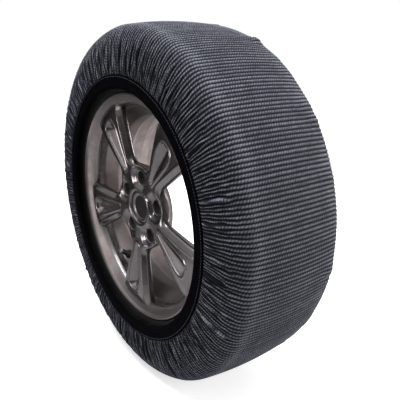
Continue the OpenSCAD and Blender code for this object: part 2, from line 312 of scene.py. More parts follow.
def fabric_line():
    """Middle line of the fabric's outer face, from the crown to inside the outer hem."""
    crown = np.linspace(0, 74, 38)
    under = np.concatenate([
        np.stack([crown_out(crown) + GAP, crown], -1),
        offset(bezier(*SHOULDER, 60), GAP),
        np.array([[250, PANEL_H], [244, PANEL_H], [HEM_OUT - 6.6, PANEL_H]])])
    outer = offset(under, FABRIC_T)
    along = distances(outer)
    return points_at(outer, along, np.linspace(0, along[-1], 400))


LINE = fabric_line()
LINE_S = distances(LINE)
LINE_N = normals_2d(LINE)
S_END = LINE_S[-1]
S_TREAD = float(np.interp(SHOULDER_H, LINE[:, 1], LINE_S))      # crown to shoulder
S_HEM = S_END - 6.6                                             # crown to the hem's edge


def line_at(s):
    """Radius, height and normal (radius, height) of the line at distance s from the crown."""
    return [np.interp(s, LINE_S, column) for column in (*LINE.T, *LINE_N.T)]


# ---------------------------------------------------------------- gathers, by cloth simulation
def fine_table(values, col_steps=8, row_steps=8):
    """Smooth upsampling: Fourier round the ring, Catmull-Rom across it."""
    n = values.shape[1]
    waves = np.fft.rfft(values, axis=1)
    waves = waves * np.exp(-(np.arange(waves.shape[1]) / (0.42 * n)) ** 6)
    g = np.fft.irfft(waves, n=n * col_steps, axis=1) * col_steps
    g = np.concatenate([g[:1], g, g[-1:]])
    rows = []
    for i in range(1, len(g) - 2):
        p0, p1, p2, p3 = g[i - 1], g[i], g[i + 1], g[i + 2]
        for j in range(row_steps):
            u = j / row_steps
            rows.append(0.5 * (2 * p1 + (p2 - p0) * u + (2 * p0 - 5 * p1 + 4 * p2 - p3) * u * u
                               + (3 * p1 - p0 - 3 * p2 + p3) * u ** 3))
    rows.append(g[-2])
    return np.array(rows)


def add_collision_form(scale, rows=16, cols=320):
    """The tyre's side under the cloth."""
    s = np.linspace(S_TREAD - 14, S_HEM + 10, rows)
    r, h, nr, nh = line_at(s)
    points = turn((r - nr * 0.3)[:, None], (h - nh * 0.3)[:, None],
                  angles_round(cols)).reshape(-1, 3)
    faces = grid_faces(rows, cols)
    quad = faces[cols * 8]
    normal = np.cross(points[quad[1]] - points[quad[0]], points[quad[2]] - points[quad[0]])
    if normal[1] > 0:
        faces = reverse_faces(faces)
    form = add_mesh("gather_form", (points * scale).tolist(), faces)
    form.modifiers.new("Collision", "COLLISION")
    form.collision.thickness_outer = 0.01
    form.collision.cloth_friction = 2.0
    return form


CLOTH = dict(
    quality=6, mass=0.02,
    tension_stiffness=40, compression_stiffness=40, shear_stiffness=4, bending_stiffness=0.12,
    tension_damping=3, compression_damping=3, shear_damping=1, bending_damping=0.3,
    air_damping=1, vertex_group_mass="pin", pin_stiffness=1.0)
CLOTH_COLLISION = dict(use_collision=True, distance_min=0.012, collision_quality=2,
                       use_self_collision=False)


def assign(target, settings):
    for key, value in settings.items():
        setattr(target, key, value)


def simulate_gathers(seed, cols=560, rows=13, frames=24, excess=0.2, scale=20.0):
    """Cloth pinned at the shoulder and along the hem, cut wider than the ring it has to fit.

    It buckles over the tyre's side into folds. Returns the first and last distance from the
    crown and fine tables of the cloth's height and sideways shift, in millimetres."""
    s = np.linspace(S_TREAD - 2, S_HEM + 1, rows)
    th = angles_round(cols)
    r0, h0, nr, nh = line_at(s)
    t = np.clip((s - S_TREAD) / (S_HEM - S_TREAD), 0, 1)
    # small waves that start the buckling
    rng = np.random.default_rng(seed)
    waves = np.zeros((rows, cols))
    for _ in range(24):
        count = rng.integers(40, 110)
        waves += (np.sin(count * th[None] + rng.uniform(0, 6.28)
                         + t[:, None] * rng.uniform(-1.5, 1.5)) * rng.uniform(0.3, 1.0))
    waves = 0.14 * waves * np.sin(np.pi * t)[:, None] + rng.normal(0, 0.02, (rows, cols))
    lift = 0.9
    base = turn((r0 + nr * lift)[:, None], (h0 + nh * lift)[:, None], th)
    start = turn(r0[:, None] + nr[:, None] * (lift + waves),
                 h0[:, None] + nh[:, None] * (lift + waves), th)
    # rest shape: the same meridian lengths on a wider ring
    wide = r0 * (1 + excess * t ** 1.3)
    ds = np.hypot(np.diff(r0), np.diff(h0))
    dz = np.sqrt(np.maximum(ds ** 2 - np.diff(wide) ** 2, 0.05 * ds ** 2))
    z = np.concatenate([[0], np.cumsum(dz)])
    rest = turn(wide[:, None], (h0[0] + z)[:, None], th)
    k = scale / 1000
    cloth = add_mesh("gather_cloth", ((rest + (start - base)) * k).reshape(-1, 3).tolist(),
                     grid_faces(rows, cols))
    cloth.shape_key_add(name="Basis")
    key = cloth.shape_key_add(name="fitted")
    key.data.foreach_set("co", (base * k).astype(np.float32).reshape(-1))
    for at_frame, value in ((1, 0.0), (frames * 0.6, 1.0)):
        key.value = value
        key.keyframe_insert("value", frame=at_frame)
    pins = cloth.vertex_groups.new(name="pin")
    pins.add([*range(cols), *range((rows - 1) * cols, rows * cols)], 1.0, "REPLACE")
    form = add_collision_form(k)
    modifier = cloth.modifiers.new("Cloth", "CLOTH")
    assign(modifier.settings, CLOTH)
    modifier.settings.effector_weights.gravity = 0.0
    assign(modifier.collision_settings, CLOTH_COLLISION)
    modifier.point_cache.frame_start = 1
    modifier.point_cache.frame_end = frames
    scene = bpy.context.scene
    scene.frame_start, scene.frame_end = 1, frames
    for f in range(1, frames + 1):
        scene.frame_set(f)
    evaluated = cloth.evaluated_get(bpy.context.evaluated_depsgraph_get())
    result = evaluated.to_mesh()
    settled = np.zeros(len(result.vertices) * 3)
    result.vertices.foreach_get("co", settled)
    evaluated.to_mesh_clear()
    scene.frame_set(1)
    meshes = [cloth.data, form.data]
    for obj in (cloth, form):
        bpy.data.objects.remove(obj, do_unlink=True)
    for me in meshes:
        bpy.data.meshes.remove(me)
    moved = settled.reshape(rows, cols, 3) / k - base
    normal = turn(nr[:, None], nh[:, None], th)
    tangent = np.stack([-np.sin(th), 0 * th, np.cos(th)], -1)[None]
    return (float(s[0]), float(s[-1]),
            fine_table((moved * normal).sum(-1)), fine_table((moved * tangent).sum(-1)))


GATHERS = simulate_gathers(seed=5)


def gather_at(angles, s, inner):
    """The simulated height and sideways shift; the inner side takes them turned and mirrored."""
    low, high, up_table, side_table = GATHERS
    rows, cols = up_table.shape
    x = (np.where(inner, -angles + 2.3, angles) / (2 * np.pi)) % 1.0 * cols
    y = np.clip((s - low) / (high - low), 0, 1) * (rows - 1)
    x0, y0 = np.floor(x).astype(int), np.minimum(np.floor(y).astype(int), rows - 2)
    u, v = x - x0, y - y0
    x0 = x0 % cols
    x1 = (x0 + 1) % cols

    def sample(q):
        return ((q[y0, x0] * (1 - u) + q[y0, x1] * u) * (1 - v)
                + (q[y0 + 1, x0] * (1 - u) + q[y0 + 1, x1] * u) * v)

    return sample(up_table), sample(side_table) * np.where(inner, -1.0, 1.0)


# ---------------------------------------------------------------- shader helpers
class Wire:
    """A shader output; arithmetic on it adds math nodes."""

    def __init__(self, graph, socket):
        self.graph = graph
        self.socket = socket


for symbol, operation in dict(add="ADD", sub="SUBTRACT", mul="MULTIPLY",
                              truediv="DIVIDE", pow="POWER").items():
    setattr(Wire, f"__{symbol}__", lambda a, b, op=operation: a.graph.math(op, a, b))
    setattr(Wire, f"__r{symbol}__", lambda a, b, op=operation: a.graph.math(op, b, a))


class Graph:
    def __init__(self, tree):
        self.tree = tree

    def node(self, kind, **settings):
        node = self.tree.nodes.new(kind)
        assign(node, settings)
        return node

    def feed(self, socket, value):
        """Links a wire to an input, or sets its value; colours are given as RGB."""
        if isinstance(value, Wire):
            self.tree.links.new(value.socket, socket)
        elif isinstance(value, tuple) and socket.type == "RGBA":
            socket.default_value = (*value, 1)
        else:
            socket.default_value = value

    def filled(self, kind, output, inputs, **settings):
        """A node with the given inputs; returns one of its outputs."""
        node = self.node(kind, **settings)
        for key, value in inputs.items():
            self.feed(node.inputs[key], value)
        return Wire(self, node.outputs[output])

    def attr(self, name):
        return self.filled("ShaderNodeAttribute", "Fac", {}, attribute_name=name)

    def math(self, operation, *values, clamp=False):
        return self.filled("ShaderNodeMath", 0, dict(enumerate(values)),
                           operation=operation, use_clamp=clamp)

    def coords(self, kind="Object"):
        return self.filled("ShaderNodeTexCoord", kind, {})

    def xyz(self, vector):
        """The X, Y and Z of a vector."""
        x = self.filled("ShaderNodeSeparateXYZ", "X", {0: vector})
        return [Wire(self, socket) for socket in x.socket.node.outputs]

    def ray(self, kind):
        return self.filled("ShaderNodeLightPath", f"Is {kind} Ray", {})

    def noise(self, scale, detail=3, rough=0.55, vector=None):
        return self.filled("ShaderNodeTexNoise", "Fac", {
            "Scale": scale, "Detail": detail, "Roughness": rough,
            "Vector": vector or self.coords()})

    def ramp(self, value, stops):
        """Colour ramp; stops are (position, RGB)."""
        node = self.node("ShaderNodeValToRGB")
        elements = node.color_ramp.elements
        while len(elements) > 1:
            elements.remove(elements[-1])
        elements[0].position = stops[0][0]
        elements[0].color = (*stops[0][1], 1)
        for position, colour in stops[1:]:
            elements.new(position).color = (*colour, 1)
        self.feed(node.inputs["Fac"], value)
        return Wire(self, node.outputs["Color"])

    def mix(self, factor, a, b, kind="RGBA"):
        in_a, in_b, result = {"RGBA": (6, 7, 2), "FLOAT": (2, 3, 0)}[kind]
        return self.filled("ShaderNodeMix", result, {0: factor, in_a: a, in_b: b}, data_type=kind)

    def remap(self, value, src, to):
        """Maps the range src onto the range to, held at its ends."""
        return self.filled("ShaderNodeMapRange", "Result", {
            "From Min": src[0], "From Max": src[1], "To Min": to[0], "To Max": to[1],
            "Value": value})

    def bump(self, height, strength, distance):
        return self.filled("ShaderNodeBump", "Normal", {
            "Strength": strength, "Distance": distance, "Height": height})


class Material(Graph):
    def __init__(self, name):
        self.material = bpy.data.materials.new(name)
        self.material.use_nodes = True
        super().__init__(self.material.node_tree)

    def finish(self, **inputs):
        """Feeds the Principled shader; underscores in names stand for spaces."""
        shader = self.tree.nodes["Principled BSDF"]
        for key, value in inputs.items():
            self.feed(shader.inputs[key.replace("_", " ")], value)
        return self.material


# ---------------------------------------------------------------- materials
def fabric_material():
    m = Material("ribbed_textile")
    rib, along, around, side = (m.attr(n) for n in ("rib", "along", "around", "side"))
    per_rib = m.filled("ShaderNodeTexWhiteNoise", "Value", {"W": m.math("FLOOR", around)},
                       noise_dimensions="1D")
    # stitches: short, faint floats along each cord; lengths in millimetres
    stitch_length, twill_length = 4.6, 1.5
    wobble = m.noise(scale=260, detail=2, rough=0.5)
    # phase shifts: random for each rib, slanted across it, and uneven
    phase = (along * (2 * math.pi / stitch_length) + per_rib * 6.28
             + m.math("FRACT", around) * 5.2 + wobble * 7.0)
    stitch = m.remap(m.math("SINE", phase), src=(-1.0, 1.0), to=(0.0, 1.0))
    twill = m.math("SINE", along * (2 * math.pi / twill_length) + m.math("FRACT", around) * 7.0)
    patch = m.noise(scale=34, detail=4, rough=0.6)
    # strands: long streaks that follow the cords, stronger on the sidewall
    stretched = m.filled("ShaderNodeCombineXYZ", 0, {0: around * 2.3, 1: along * 0.045})
    strand = m.noise(scale=1.0, detail=3, rough=0.6, vector=stretched)
    # painted highlight on the top of each cord and painted shade in the grooves between; the highlight narrows on
    # the sidewall
    top = rib ** m.remap(side, src=(0.0, 0.5), to=(0.85, 2.4))
    bright = top * (0.47 + stitch * 0.62)
    bright = bright * m.remap(patch, src=(0.25, 0.75), to=(0.8, 1.2))
    bright = bright * m.remap(per_rib, src=(0, 1), to=(0.86, 1.12))
    streak = m.remap(strand, src=(0.38, 0.66), to=(0.15, 1.9))
    amount = m.remap(side, src=(0.05, 0.8), to=(0.15, 1.0))
    bright = bright * (streak * amount + (1.0 - amount))
    bright = bright + twill * top * 0.03
    # painted highlight where the cords turn over the shoulder; the colour is a little darker on the tread than on
    # the upper sidewall and dims towards the hem, a painted shade beside it
    shoulder = (m.math("ABSOLUTE", along) - (S_TREAD - 1.0)) / 13.0
    shoulder = 2.718 ** (shoulder * shoulder * -1.0)
    side_tone_and_hem_shade = (m.remap(side, src=(0.0, 0.3), to=(0.90, 1.05))
            * m.remap(side, src=(0.45, 1.0), to=(1.06, 0.92)))
    bright = bright * (side_tone_and_hem_shade + shoulder * 0.42)
    # light reaches the bottom of the valleys on the tread, where the ribs are pulled apart
    floor = m.remap(side, src=(0.0, 0.45), to=(0.13, 0.0))
    bright = bright * (1.0 - floor) + floor
    # the ramp runs from the grooves' painted shade up to the cords' painted highlight
    colour = m.ramp(bright, [(0.0, (0.0048, 0.0048, 0.0068)), (0.2, (0.0165, 0.0165, 0.0215)),
                             (0.55, (0.062, 0.064, 0.079)), (1.0, (0.19, 0.197, 0.22))])
    # relief: stitches and twill on the cords, fuzz everywhere
    weave = stitch * 0.45 + twill * 0.22
    relief = weave * top + m.noise(scale=2400, detail=2, rough=0.6) * 0.35
    return m.finish(
        Base_Color=colour, Roughness=m.remap(stitch, src=(0, 1), to=(0.82, 0.66)),
        Normal=m.bump(relief, strength=0.5, distance=0.0005), IOR=1.12, Specular_IOR_Level=0.5,
        Sheen_Weight=0.04, Sheen_Roughness=0.45, Sheen_Tint=(0.75, 0.82, 0.95))


def hem_material():
    m = Material("black_hem_knit")
    cloudy = m.noise(scale=55, detail=4, rough=0.6)
    pitch_along, pitch_around = 1.25, 1.6       # knit pitches in millimetres
    knit = (m.math("SINE", m.attr("along") * (2 * math.pi / pitch_along))
            * m.math("SINE", m.attr("around") * (2 * math.pi / pitch_around)))
    fuzz = m.noise(scale=1900, detail=3, rough=0.65)
    return m.finish(
        Base_Color=m.ramp(cloudy * 0.7 + knit * 0.12, [(0.2, (0.0012, 0.0012, 0.0016)),
                                                       (0.7, (0.0042, 0.0042, 0.0054))]),
        Roughness=m.remap(cloudy, src=(0.3, 0.7), to=(0.72, 0.9)),
        Normal=m.bump(knit * 0.5 + fuzz * 0.5, strength=0.5, distance=0.0004),
        IOR=1.06, Specular_IOR_Level=0.5, Sheen_Weight=0.0)


def alloy_material():
    """Dusty lacquered alloy; the dust attribute, which also carries painted shade, is 0 clean, 1 dusty, 2 black:
    the black is painted shade.
    """
    m = Material("dark_silver_alloy")
    cloudy = m.noise(scale=14, detail=4, rough=0.55)
    grain = m.noise(scale=700, detail=2, rough=0.6)
    patches = m.noise(scale=45, detail=4, rough=0.6)
    dust_and_shade = m.attr("dust_and_shade")
    clean = m.ramp(cloudy, [(0.3, (0.125, 0.113, 0.115)), (0.7, (0.185, 0.169, 0.171))])
    # the dirt in a shaded copy and a lit copy
    shaded_dirt = m.ramp(patches, [(0.35, (0.085, 0.073, 0.069)), (0.7, (0.125, 0.108, 0.103))])
    lit_dirt = m.ramp(patches, [(0.35, (0.31, 0.262, 0.25)), (0.7, (0.46, 0.40, 0.385))])
    # painted light: the dirt takes its lit copy on the -X side and its shaded copy towards +X
    painted_light_minus_x = m.remap(m.xyz(m.coords())[0], src=(-0.06, -0.15), to=(0.0, 1.0))
    dirt_lit_and_shaded = m.mix(painted_light_minus_x, shaded_dirt, lit_dirt)
    cover = m.math("MULTIPLY", dust_and_shade, m.remap(patches, src=(0.3, 0.7), to=(0.85, 1.0)), clamp=True)
    # above 1 the dust attribute turns the metal black: painted shade
    black = m.math("SUBTRACT", dust_and_shade, 1.0, clamp=True)
    return m.finish(
        Base_Color=m.mix(black, m.mix(cover, clean, dirt_lit_and_shaded), (0.004, 0.0035, 0.0035)),
        Metallic=m.remap(cover, src=(0, 1), to=(0.93, 0.25)) * (1.0 - black),
        Roughness=m.remap(patches, src=(0.3, 0.75), to=(0.21, 0.29)) + cover * 0.42,
        Normal=m.bump(grain + patches * 0.5, strength=0.04, distance=0.0002),
        Coat_Weight=m.remap(dust_and_shade, src=(0.0, 0.5), to=(0.35, 0.0)), Coat_Roughness=0.08)


def rubber_material(name, tone, rough, grain=500):
    m = Material(name)
    cloudy = m.noise(scale=30, detail=4, rough=0.6)
    fine = m.noise(scale=grain, detail=3, rough=0.7)
    return m.finish(
        Base_Color=m.ramp(cloudy, [(0.3, (tone * 0.7,) * 3),
                                   (0.75, (tone * 1.6, tone * 1.58, tone * 1.55))]),
        Roughness=m.remap(cloudy, src=(0.3, 0.7), to=(rough - 0.08, rough + 0.12)),
        Normal=m.bump(fine, strength=0.25, distance=0.0004), IOR=1.3, Specular_IOR_Level=0.4)


def cap_material():
    """Moulded cap: a satin silver ring painted round a dark centre."""
    m = Material("painted_cap")
    cloudy = m.noise(scale=60, detail=3, rough=0.6)
    grain = m.noise(scale=1400, detail=2, rough=0.6)
    x, y, z = m.xyz(m.coords())
    radius = m.math("SQRT", x ** 2.0 + z ** 2.0)
    outer_face = m.remap(y, src=(-0.0668, -0.0672), to=(0.0, 1.0))
    paint = m.remap(radius, src=(0.0206, 0.0212), to=(0.0, 1.0)) * outer_face
    dark = m.ramp(cloudy, [(0.3, (0.0065, 0.006, 0.0065)), (0.7, (0.0125, 0.0115, 0.012))])
    return m.finish(
        Base_Color=m.mix(paint, dark, (0.19, 0.175, 0.176)), Metallic=paint * 0.9,
        Roughness=m.remap(cloudy, src=(0.3, 0.7), to=(0.46, 0.58)) - paint * 0.22,
        Normal=m.bump(grain, strength=0.12, distance=0.0002), IOR=1.3)


def metal_material(name, colour, rough):
    m = Material(name)
    mapped = m.filled("ShaderNodeMapping", "Vector", {"Vector": m.coords()})
    grain = m.noise(scale=160, detail=4, rough=0.6, vector=mapped)
    cloudy = m.noise(scale=25, detail=3, rough=0.6)
    return m.finish(
        Base_Color=m.ramp(cloudy, [(0.3, tuple(v * 0.75 for v in colour)), (0.7, colour)]),
        Roughness=m.remap(grain, src=(0.3, 0.7), to=(rough - 0.08, rough + 0.12)),
        Normal=m.bump(grain, strength=0.1, distance=0.0002), Metallic=0.95)


def cord_material(name, dark, pale, scale):
    """Cords: fine stripes of two colours."""
    m = Material(name)
    wave = m.filled("ShaderNodeTexWave", "Fac",
                    {"Scale": scale, "Distortion": 0.6, "Vector": m.coords()})
    cloudy = m.noise(scale=80, detail=3, rough=0.6)
    stripe = wave * m.remap(cloudy, src=(0.3, 0.7), to=(0.6, 1.0))
    return m.finish(
        Base_Color=m.ramp(stripe, [(0.2, dark), (0.8, pale)]),
        Roughness=m.remap(cloudy, src=(0.3, 0.7), to=(0.55, 0.75)),
        Normal=m.bump(stripe, strength=0.5, distance=0.0005))


MATERIALS = {
    "sock_fabric": fabric_material(),
    "hem_fabric": hem_material(),
    "hem_thread": cord_material("hem_thread_twist", dark=(0.02, 0.02, 0.024),
                                pale=(0.10, 0.10, 0.115), scale=900),
    "elastic_cord": cord_material("elastic_cord_braid", dark=(0.45, 0.45, 0.43),
                                  pale=(0.8, 0.8, 0.77), scale=500),
    "wheel_alloy": alloy_material(),
    "cap_plastic": cap_material(),
    "spring_steel": metal_material("zinc_spring_steel", colour=(0.6, 0.6, 0.62), rough=0.3),
    "valve_rubber": rubber_material("valve_rubber", tone=0.014, rough=0.5, grain=700),
    "valve_brass": metal_material("valve_brass", colour=(0.72, 0.56, 0.28), rough=0.28),
    "weight_metal": metal_material("coated_weight", colour=(0.34, 0.345, 0.35), rough=0.45),
    "weight_tape_foam": rubber_material("foam_tape", tone=0.02, rough=0.85, grain=900),
    "tread_rubber": rubber_material("tread_rubber", tone=0.013, rough=0.72),
    "sidewall_rubber": rubber_material("sidewall_rubber", tone=0.0045, rough=0.55, grain=420),
    "liner_rubber": rubber_material("butyl_liner", tone=0.02, rough=0.55),
    "filler_rubber": rubber_material("bead_filler_rubber", tone=0.02, rough=0.65),
    "ply_cord": cord_material("textile_cords", dark=(0.16, 0.14, 0.11),
                              pale=(0.5, 0.46, 0.36), scale=240),
    "belt_steel": cord_material("steel_cords", dark=(0.1, 0.09, 0.08),
                                pale=(0.42, 0.36, 0.26), scale=300),
    "bead_steel": cord_material("bead_wires", dark=(0.25, 0.18, 0.1),
                                pale=(0.66, 0.48, 0.26), scale=420),
}
for node_name, obj in frame["nodes"].items():
    material = MATERIALS[SLOT[node_name]]
    if not obj.material_slots:
        obj.data.materials.append(material)
    for slot in obj.material_slots:
        slot.material = material


def piece(obj, replaced, body, slot):
    """Gives a piece its material and its place among the CAD parts."""
    obj.data.materials.clear()
    obj.data.materials.append(MATERIALS[slot])
    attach(obj, body)
    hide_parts(replaced)


# ---------------------------------------------------------------- the sock's fabric
# local swellings at the shoulder: (angle in degrees, height, on the inner side)
TUCKS = [
    (61.5, 4.0, True), (34.8, 3.2, True), (30, 3.2, True), (348.5, 3.4, True),
    (170.5, 3.0, False), (195.2, 3.4, False), (228.5, 3.6, False), (101, 1.6, True),
    (300, 1.8, True), (14, 1.4, True), (140, 1.6, False), (52, 1.5, True)]
# random fields: seed, number of waves, fewest and most waves round, drift across
DRIFT = Fourier(11, 14, 3, 17, 0.9)
WANDER = Fourier(12, 18, 15, 60, 1.2)
FOLD_SIZE = Fourier(13, 10, 6, 30, 0.8)
FOLD_DEPTH = Fourier(14, 12, 8, 40, 0.9)
JITTER = Fourier(15, 20, 40, 120, 1.5)


def fabric_surface(angles, s):
    """Points of the outer face and its shading fields.

    angles: the columns; s: the rows, signed distances from the crown."""
    th, s = np.meshgrid(angles, s)
    a = np.abs(s)
    sign = np.where(s >= 0, 1.0, -1.0)
    side = np.clip((a - S_TREAD - 6) / (S_HEM - S_TREAD - 6), 0, 1)
    inner = s < 0
    # gathers: radial folds that deepen towards the hem
    warp = 0.55 * DRIFT(th, a * 0.02) + 0.35 * WANDER(th + 1.0 * inner, a * 0.03)
    folds_83 = np.cos(83 * th + 2.6 * warp + 1.7 * inner)
    folds_57 = np.cos(57 * th - 3.1 * warp + 0.9 + 2.1 * inner)
    folds_131 = np.cos(131 * th + 2.2 * warp + 0.03 * a)
    wave = (folds_83 * (0.75 + 0.5 * FOLD_SIZE(th, a * 0.02))
            + 0.75 * folds_57 + 0.45 * folds_131) / 1.9
    fold = np.clip(0.5 + 0.5 * wave, 0, 1)
    depth = (2.1 * smoothstep((side - 0.12) / 0.75)
             * (0.55 + 0.45 * (FOLD_DEPTH(th, a * 0.03) + 0.6)))
    gather = depth * (np.sign(wave) * np.abs(wave) ** 0.8)
    # the relief dies out under the hem
    relief = 1 - smoothstep((a - S_HEM + 3.0) / 3.5)
    shift = 0.0
    if GATHERS:
        up, sideways = gather_at(th, a, inner)
        on = smoothstep((side - 0.06) / 0.22)
        gather = 0.4 * gather + 1.7 * (up - 0.35) * on
        fold = np.clip(0.3 * fold + 0.7 * (0.35 + 0.42 * up * on), 0, 1)
        shift = 0.8 * sideways * on * RIBS / (2 * np.pi * 270)      # 270: mean radius
    # cords, which wander sideways on the sidewall
    lateral = (side ** 1.2 * (0.42 * WANDER(th, a * 0.05) + 0.25 * JITTER(th, a * 0.10))
               + 0.05 * JITTER(th, a * 0.05))
    lateral = lateral * (0.5 if GATHERS else 1.0) * relief + shift
    around = th / (2 * np.pi) * RIBS + lateral
    phase = around - np.floor(around)
    rib = 0.5 - 0.5 * np.cos(2 * np.pi * phase)
    cord = 0.45 * np.sqrt(np.clip(1 - (2 * phase - 1) ** 2 * 0.985, 0, 1)) + 0.55 * rib
    rib_height = np.interp(a, [0, S_TREAD, S_TREAD + 30, S_HEM], [1.6, 1.6, 1.35, 1.1])
    seam = np.exp(-(np.abs(angle_from(th, SEAM) * FABRIC_R) / 5.0) ** 4)
    cord = cord * (1 - 0.6 * seam)
    d = (rib_height * (cord - 0.62) * (0.25 + 0.75 * relief) + gather * relief
         + 0.5 * seam * relief)
    d = d + 0.35 * DRIFT(th, a * 0.02) * relief
    # the shoulder is pulled over the tread blocks in places, most of all on the inner side
    lump = smoothstep((np.cos(23 * th + 1.4 * DRIFT(th, 0 * a)) - 0.55) / 0.4)
    d = d + 1.2 * lump * np.exp(-((a - S_TREAD + 1) / 9.0) ** 2) * np.where(inner, 1.0, 0.35)
    for degrees, size, on_inner in TUCKS:
        x = np.degrees(angle_from(th, math.radians(degrees))) * 5.5     # about mm round the tyre
        swell = np.exp(-(np.abs(x) / 8.5) ** 3) + 0.45 * np.exp(-((x - 13) / 7.0) ** 2)
        d = d + (size * swell * np.exp(-((a - S_TREAD + 2) / 11.0) ** 2)
                 * np.where(inner == on_inner, 1.0, 0.0))
    d = d - 0.7 * (1 - relief)
    r0, h0, nr, nh = line_at(a)
    points = turn(r0 + nr * d, h0 * sign + nh * sign * d, th)
    return points, dict(rib=rib * (1 - 0.6 * seam), along=s, around=around, side=side, fold=fold)


def fabric_piece(name, s_rows, inner_rows):
    """A closed ring of fabric: ribbed outer face, plain inner face.

    Its normals continue across the joins with the next piece."""
    cols = RIBS * COLUMNS_PER_RIB
    th = angles_round(cols)
    outer, fields = fabric_surface(th, s_rows)
    count = len(s_rows)
    # normals of the outer face from the surface itself
    step = 0.4
    across = fabric_surface(th, s_rows + step)[0] - fabric_surface(th, s_rows - step)[0]
    normals = np.cross(across, np.roll(outer, -1, 1) - np.roll(outer, 1, 1))
    normals /= np.linalg.norm(normals, axis=-1)[..., None]
    mid = count // 2
    if abs(s_rows[mid]) < S_TREAD:
        outward = np.stack([np.cos(th), 0 * th, np.sin(th)], -1)
        inverted = (normals[mid] * outward).sum(-1).mean() < 0
    else:
        inverted = normals[mid, :, 1].mean() * s_rows[mid] > 0
    if inverted:
        normals = -normals
    # inner face
    sign = np.where(inner_rows >= 0, 1.0, -1.0)
    r0, h0, nr, nh = line_at(np.abs(inner_rows))
    depth = FABRIC_T - 0.1
    inner = turn((r0 - nr * depth)[:, None], (h0 * sign - nh * sign * depth)[:, None], th)
    # outer rows, end ring copy, inner rows back, end ring copy
    rows = np.concatenate([outer, outer[-1:], inner[::-1], outer[:1]], 0)
    points = rows.reshape(-1, 3)
    on_outer = count * cols
    faces = grid_faces(count, cols) + grid_faces(len(inner) + 2, cols, base=on_outer)
    a, b, c = points[faces[mid * cols][:3]]
    if np.cross(b - a, c - a) @ normals[mid, 0] < 0:
        faces = reverse_faces(faces)
    obj = smooth_object(name, points, faces)
    custom = np.zeros(len(points) * 3)
    obj.data.vertex_normals.foreach_get("vector", custom)
    custom = custom.reshape(-1, 3)
    custom[:on_outer] = normals.reshape(-1, 3)
    obj.data.normals_split_custom_set_from_vertices(custom.tolist())
    for key, values in fields.items():
        full = np.zeros(len(points))
        full[:on_outer] = values.ravel()
        put_attr(obj, key, full)
    return obj


side_rows, side_inner_rows = np.linspace(S_TREAD, S_END, 38), np.linspace(S_TREAD, S_END, 6)
for name, rows, inner_rows in (
        ("sock_tread_fabric", np.linspace(-S_TREAD, S_TREAD, 27), np.linspace(-S_TREAD, S_TREAD, 5)),
        ("sock_outer_side_fabric", side_rows, side_inner_rows),
        ("sock_inner_side_fabric", -side_rows[::-1], -side_inner_rows[::-1])):
    piece(fabric_piece(name, rows, inner_rows), "sock_fabric", "sock", "sock_fabric")


# ---------------------------------------------------------------- hems
HEM_PUCKER = Fourier(21, 26, 90, 210, 0.4)
HEM_CRINKLE = Fourier(22, 24, 200, 420, 0.4)
HEM_EDGE = Fourier(23, 12, 10, 50, 0.1)


def hem_section():
    lo, hi = HEM_LO, HEM_HI
    slot_lo, slot_hi = PANEL_H - 0.15, PANEL_H + FABRIC_T + 0.15     # holds the fabric's edge
    corners = [
        [HEM_IN, HEM_MID], [HEM_IN + 0.2, lo + 2.0], [HEM_IN + 2.6, lo], [HEM_OUT - 1.2, lo],
        [HEM_OUT, lo + 0.7], [HEM_OUT, slot_lo], [HEM_OUT - 7, slot_lo], [HEM_OUT - 7, slot_hi],
        [HEM_OUT, slot_hi], [HEM_OUT, hi - 0.9], [HEM_OUT - 1.3, hi], [HEM_IN + 3.4, hi],
        [HEM_IN + 0.4, hi - 2.2]]
    radii = [2, 2, 2.4, 1.0, 0.4, 0.1, 0.1, 0.1, 0.1, 0.7, 1.2, 2.8, 2.2]
    section = drop_repeats(fillet(corners, radii, 3))
    # more points where the face is broad
    dense = []
    for a, b in zip(section, np.roll(section, -1, 0)):
        n = max(1, int(np.linalg.norm(b - a) / 2.2))
        dense += [a + (b - a) * k / n for k in range(n)]
    return clockwise(dense)


def hem_piece(name, sign, cols=1200):
    """Padded binding: folded round the fabric's edge, puckered by the cord inside it."""
    section = hem_section()
    th = angles_round(cols)[None]
    r, h = section[:, :1], section[:, 1:]
    face = smoothstep((h - HEM_MID) / ((HEM_HI - HEM_LO) / 2) - 0.35)
    leaf = face * smoothstep((r - HEM_IN) / 4)
    pucker = leaf * (0.34 * HEM_PUCKER(th + sign, r * 0.05) * smoothstep((r - HEM_IN - 8) / 10)
                     + 0.16 * HEM_CRINKLE(th + sign * 2, r * 0.12))
    cord = 0.55 * np.exp(-((r - CORD_R) / 3.2) ** 2) * leaf
    stitch = -0.55 * np.exp(-((r - THREAD_R) / 0.9) ** 2) * leaf
    valley = -0.35 * np.exp(-((r - (CORD_R + 5.2)) / 1.6) ** 2) * leaf
    edge = 0.35 * HEM_EDGE(th + sign, 0 * r) * smoothstep((HEM_IN + 5 - r) / 4)
    band = turn(r + edge, (h + pucker + cord + stitch + valley) * sign, th)
    # the cord's channel
    channel = turn_section(arc((CORD_R, HEM_MID), 2.4, 0, 360, 16)[:-1], 300).reshape(-1, 3)
    channel[:, 1] *= sign
    faces = (grid_faces(len(section), cols, wrap_rows=True)
             + grid_faces(16, 300, wrap_rows=True, base=len(section) * cols))
    if sign < 0:
        faces = reverse_faces(faces)
    obj = smooth_object(name, np.concatenate([band.reshape(-1, 3), channel]), faces, sharp=50)
    blank = np.zeros(len(channel))
    put_attr(obj, "along", np.concatenate([(th * r).ravel(), blank]))
    put_attr(obj, "around", np.concatenate([(r + h + 0 * th).ravel(), blank]))
    return obj


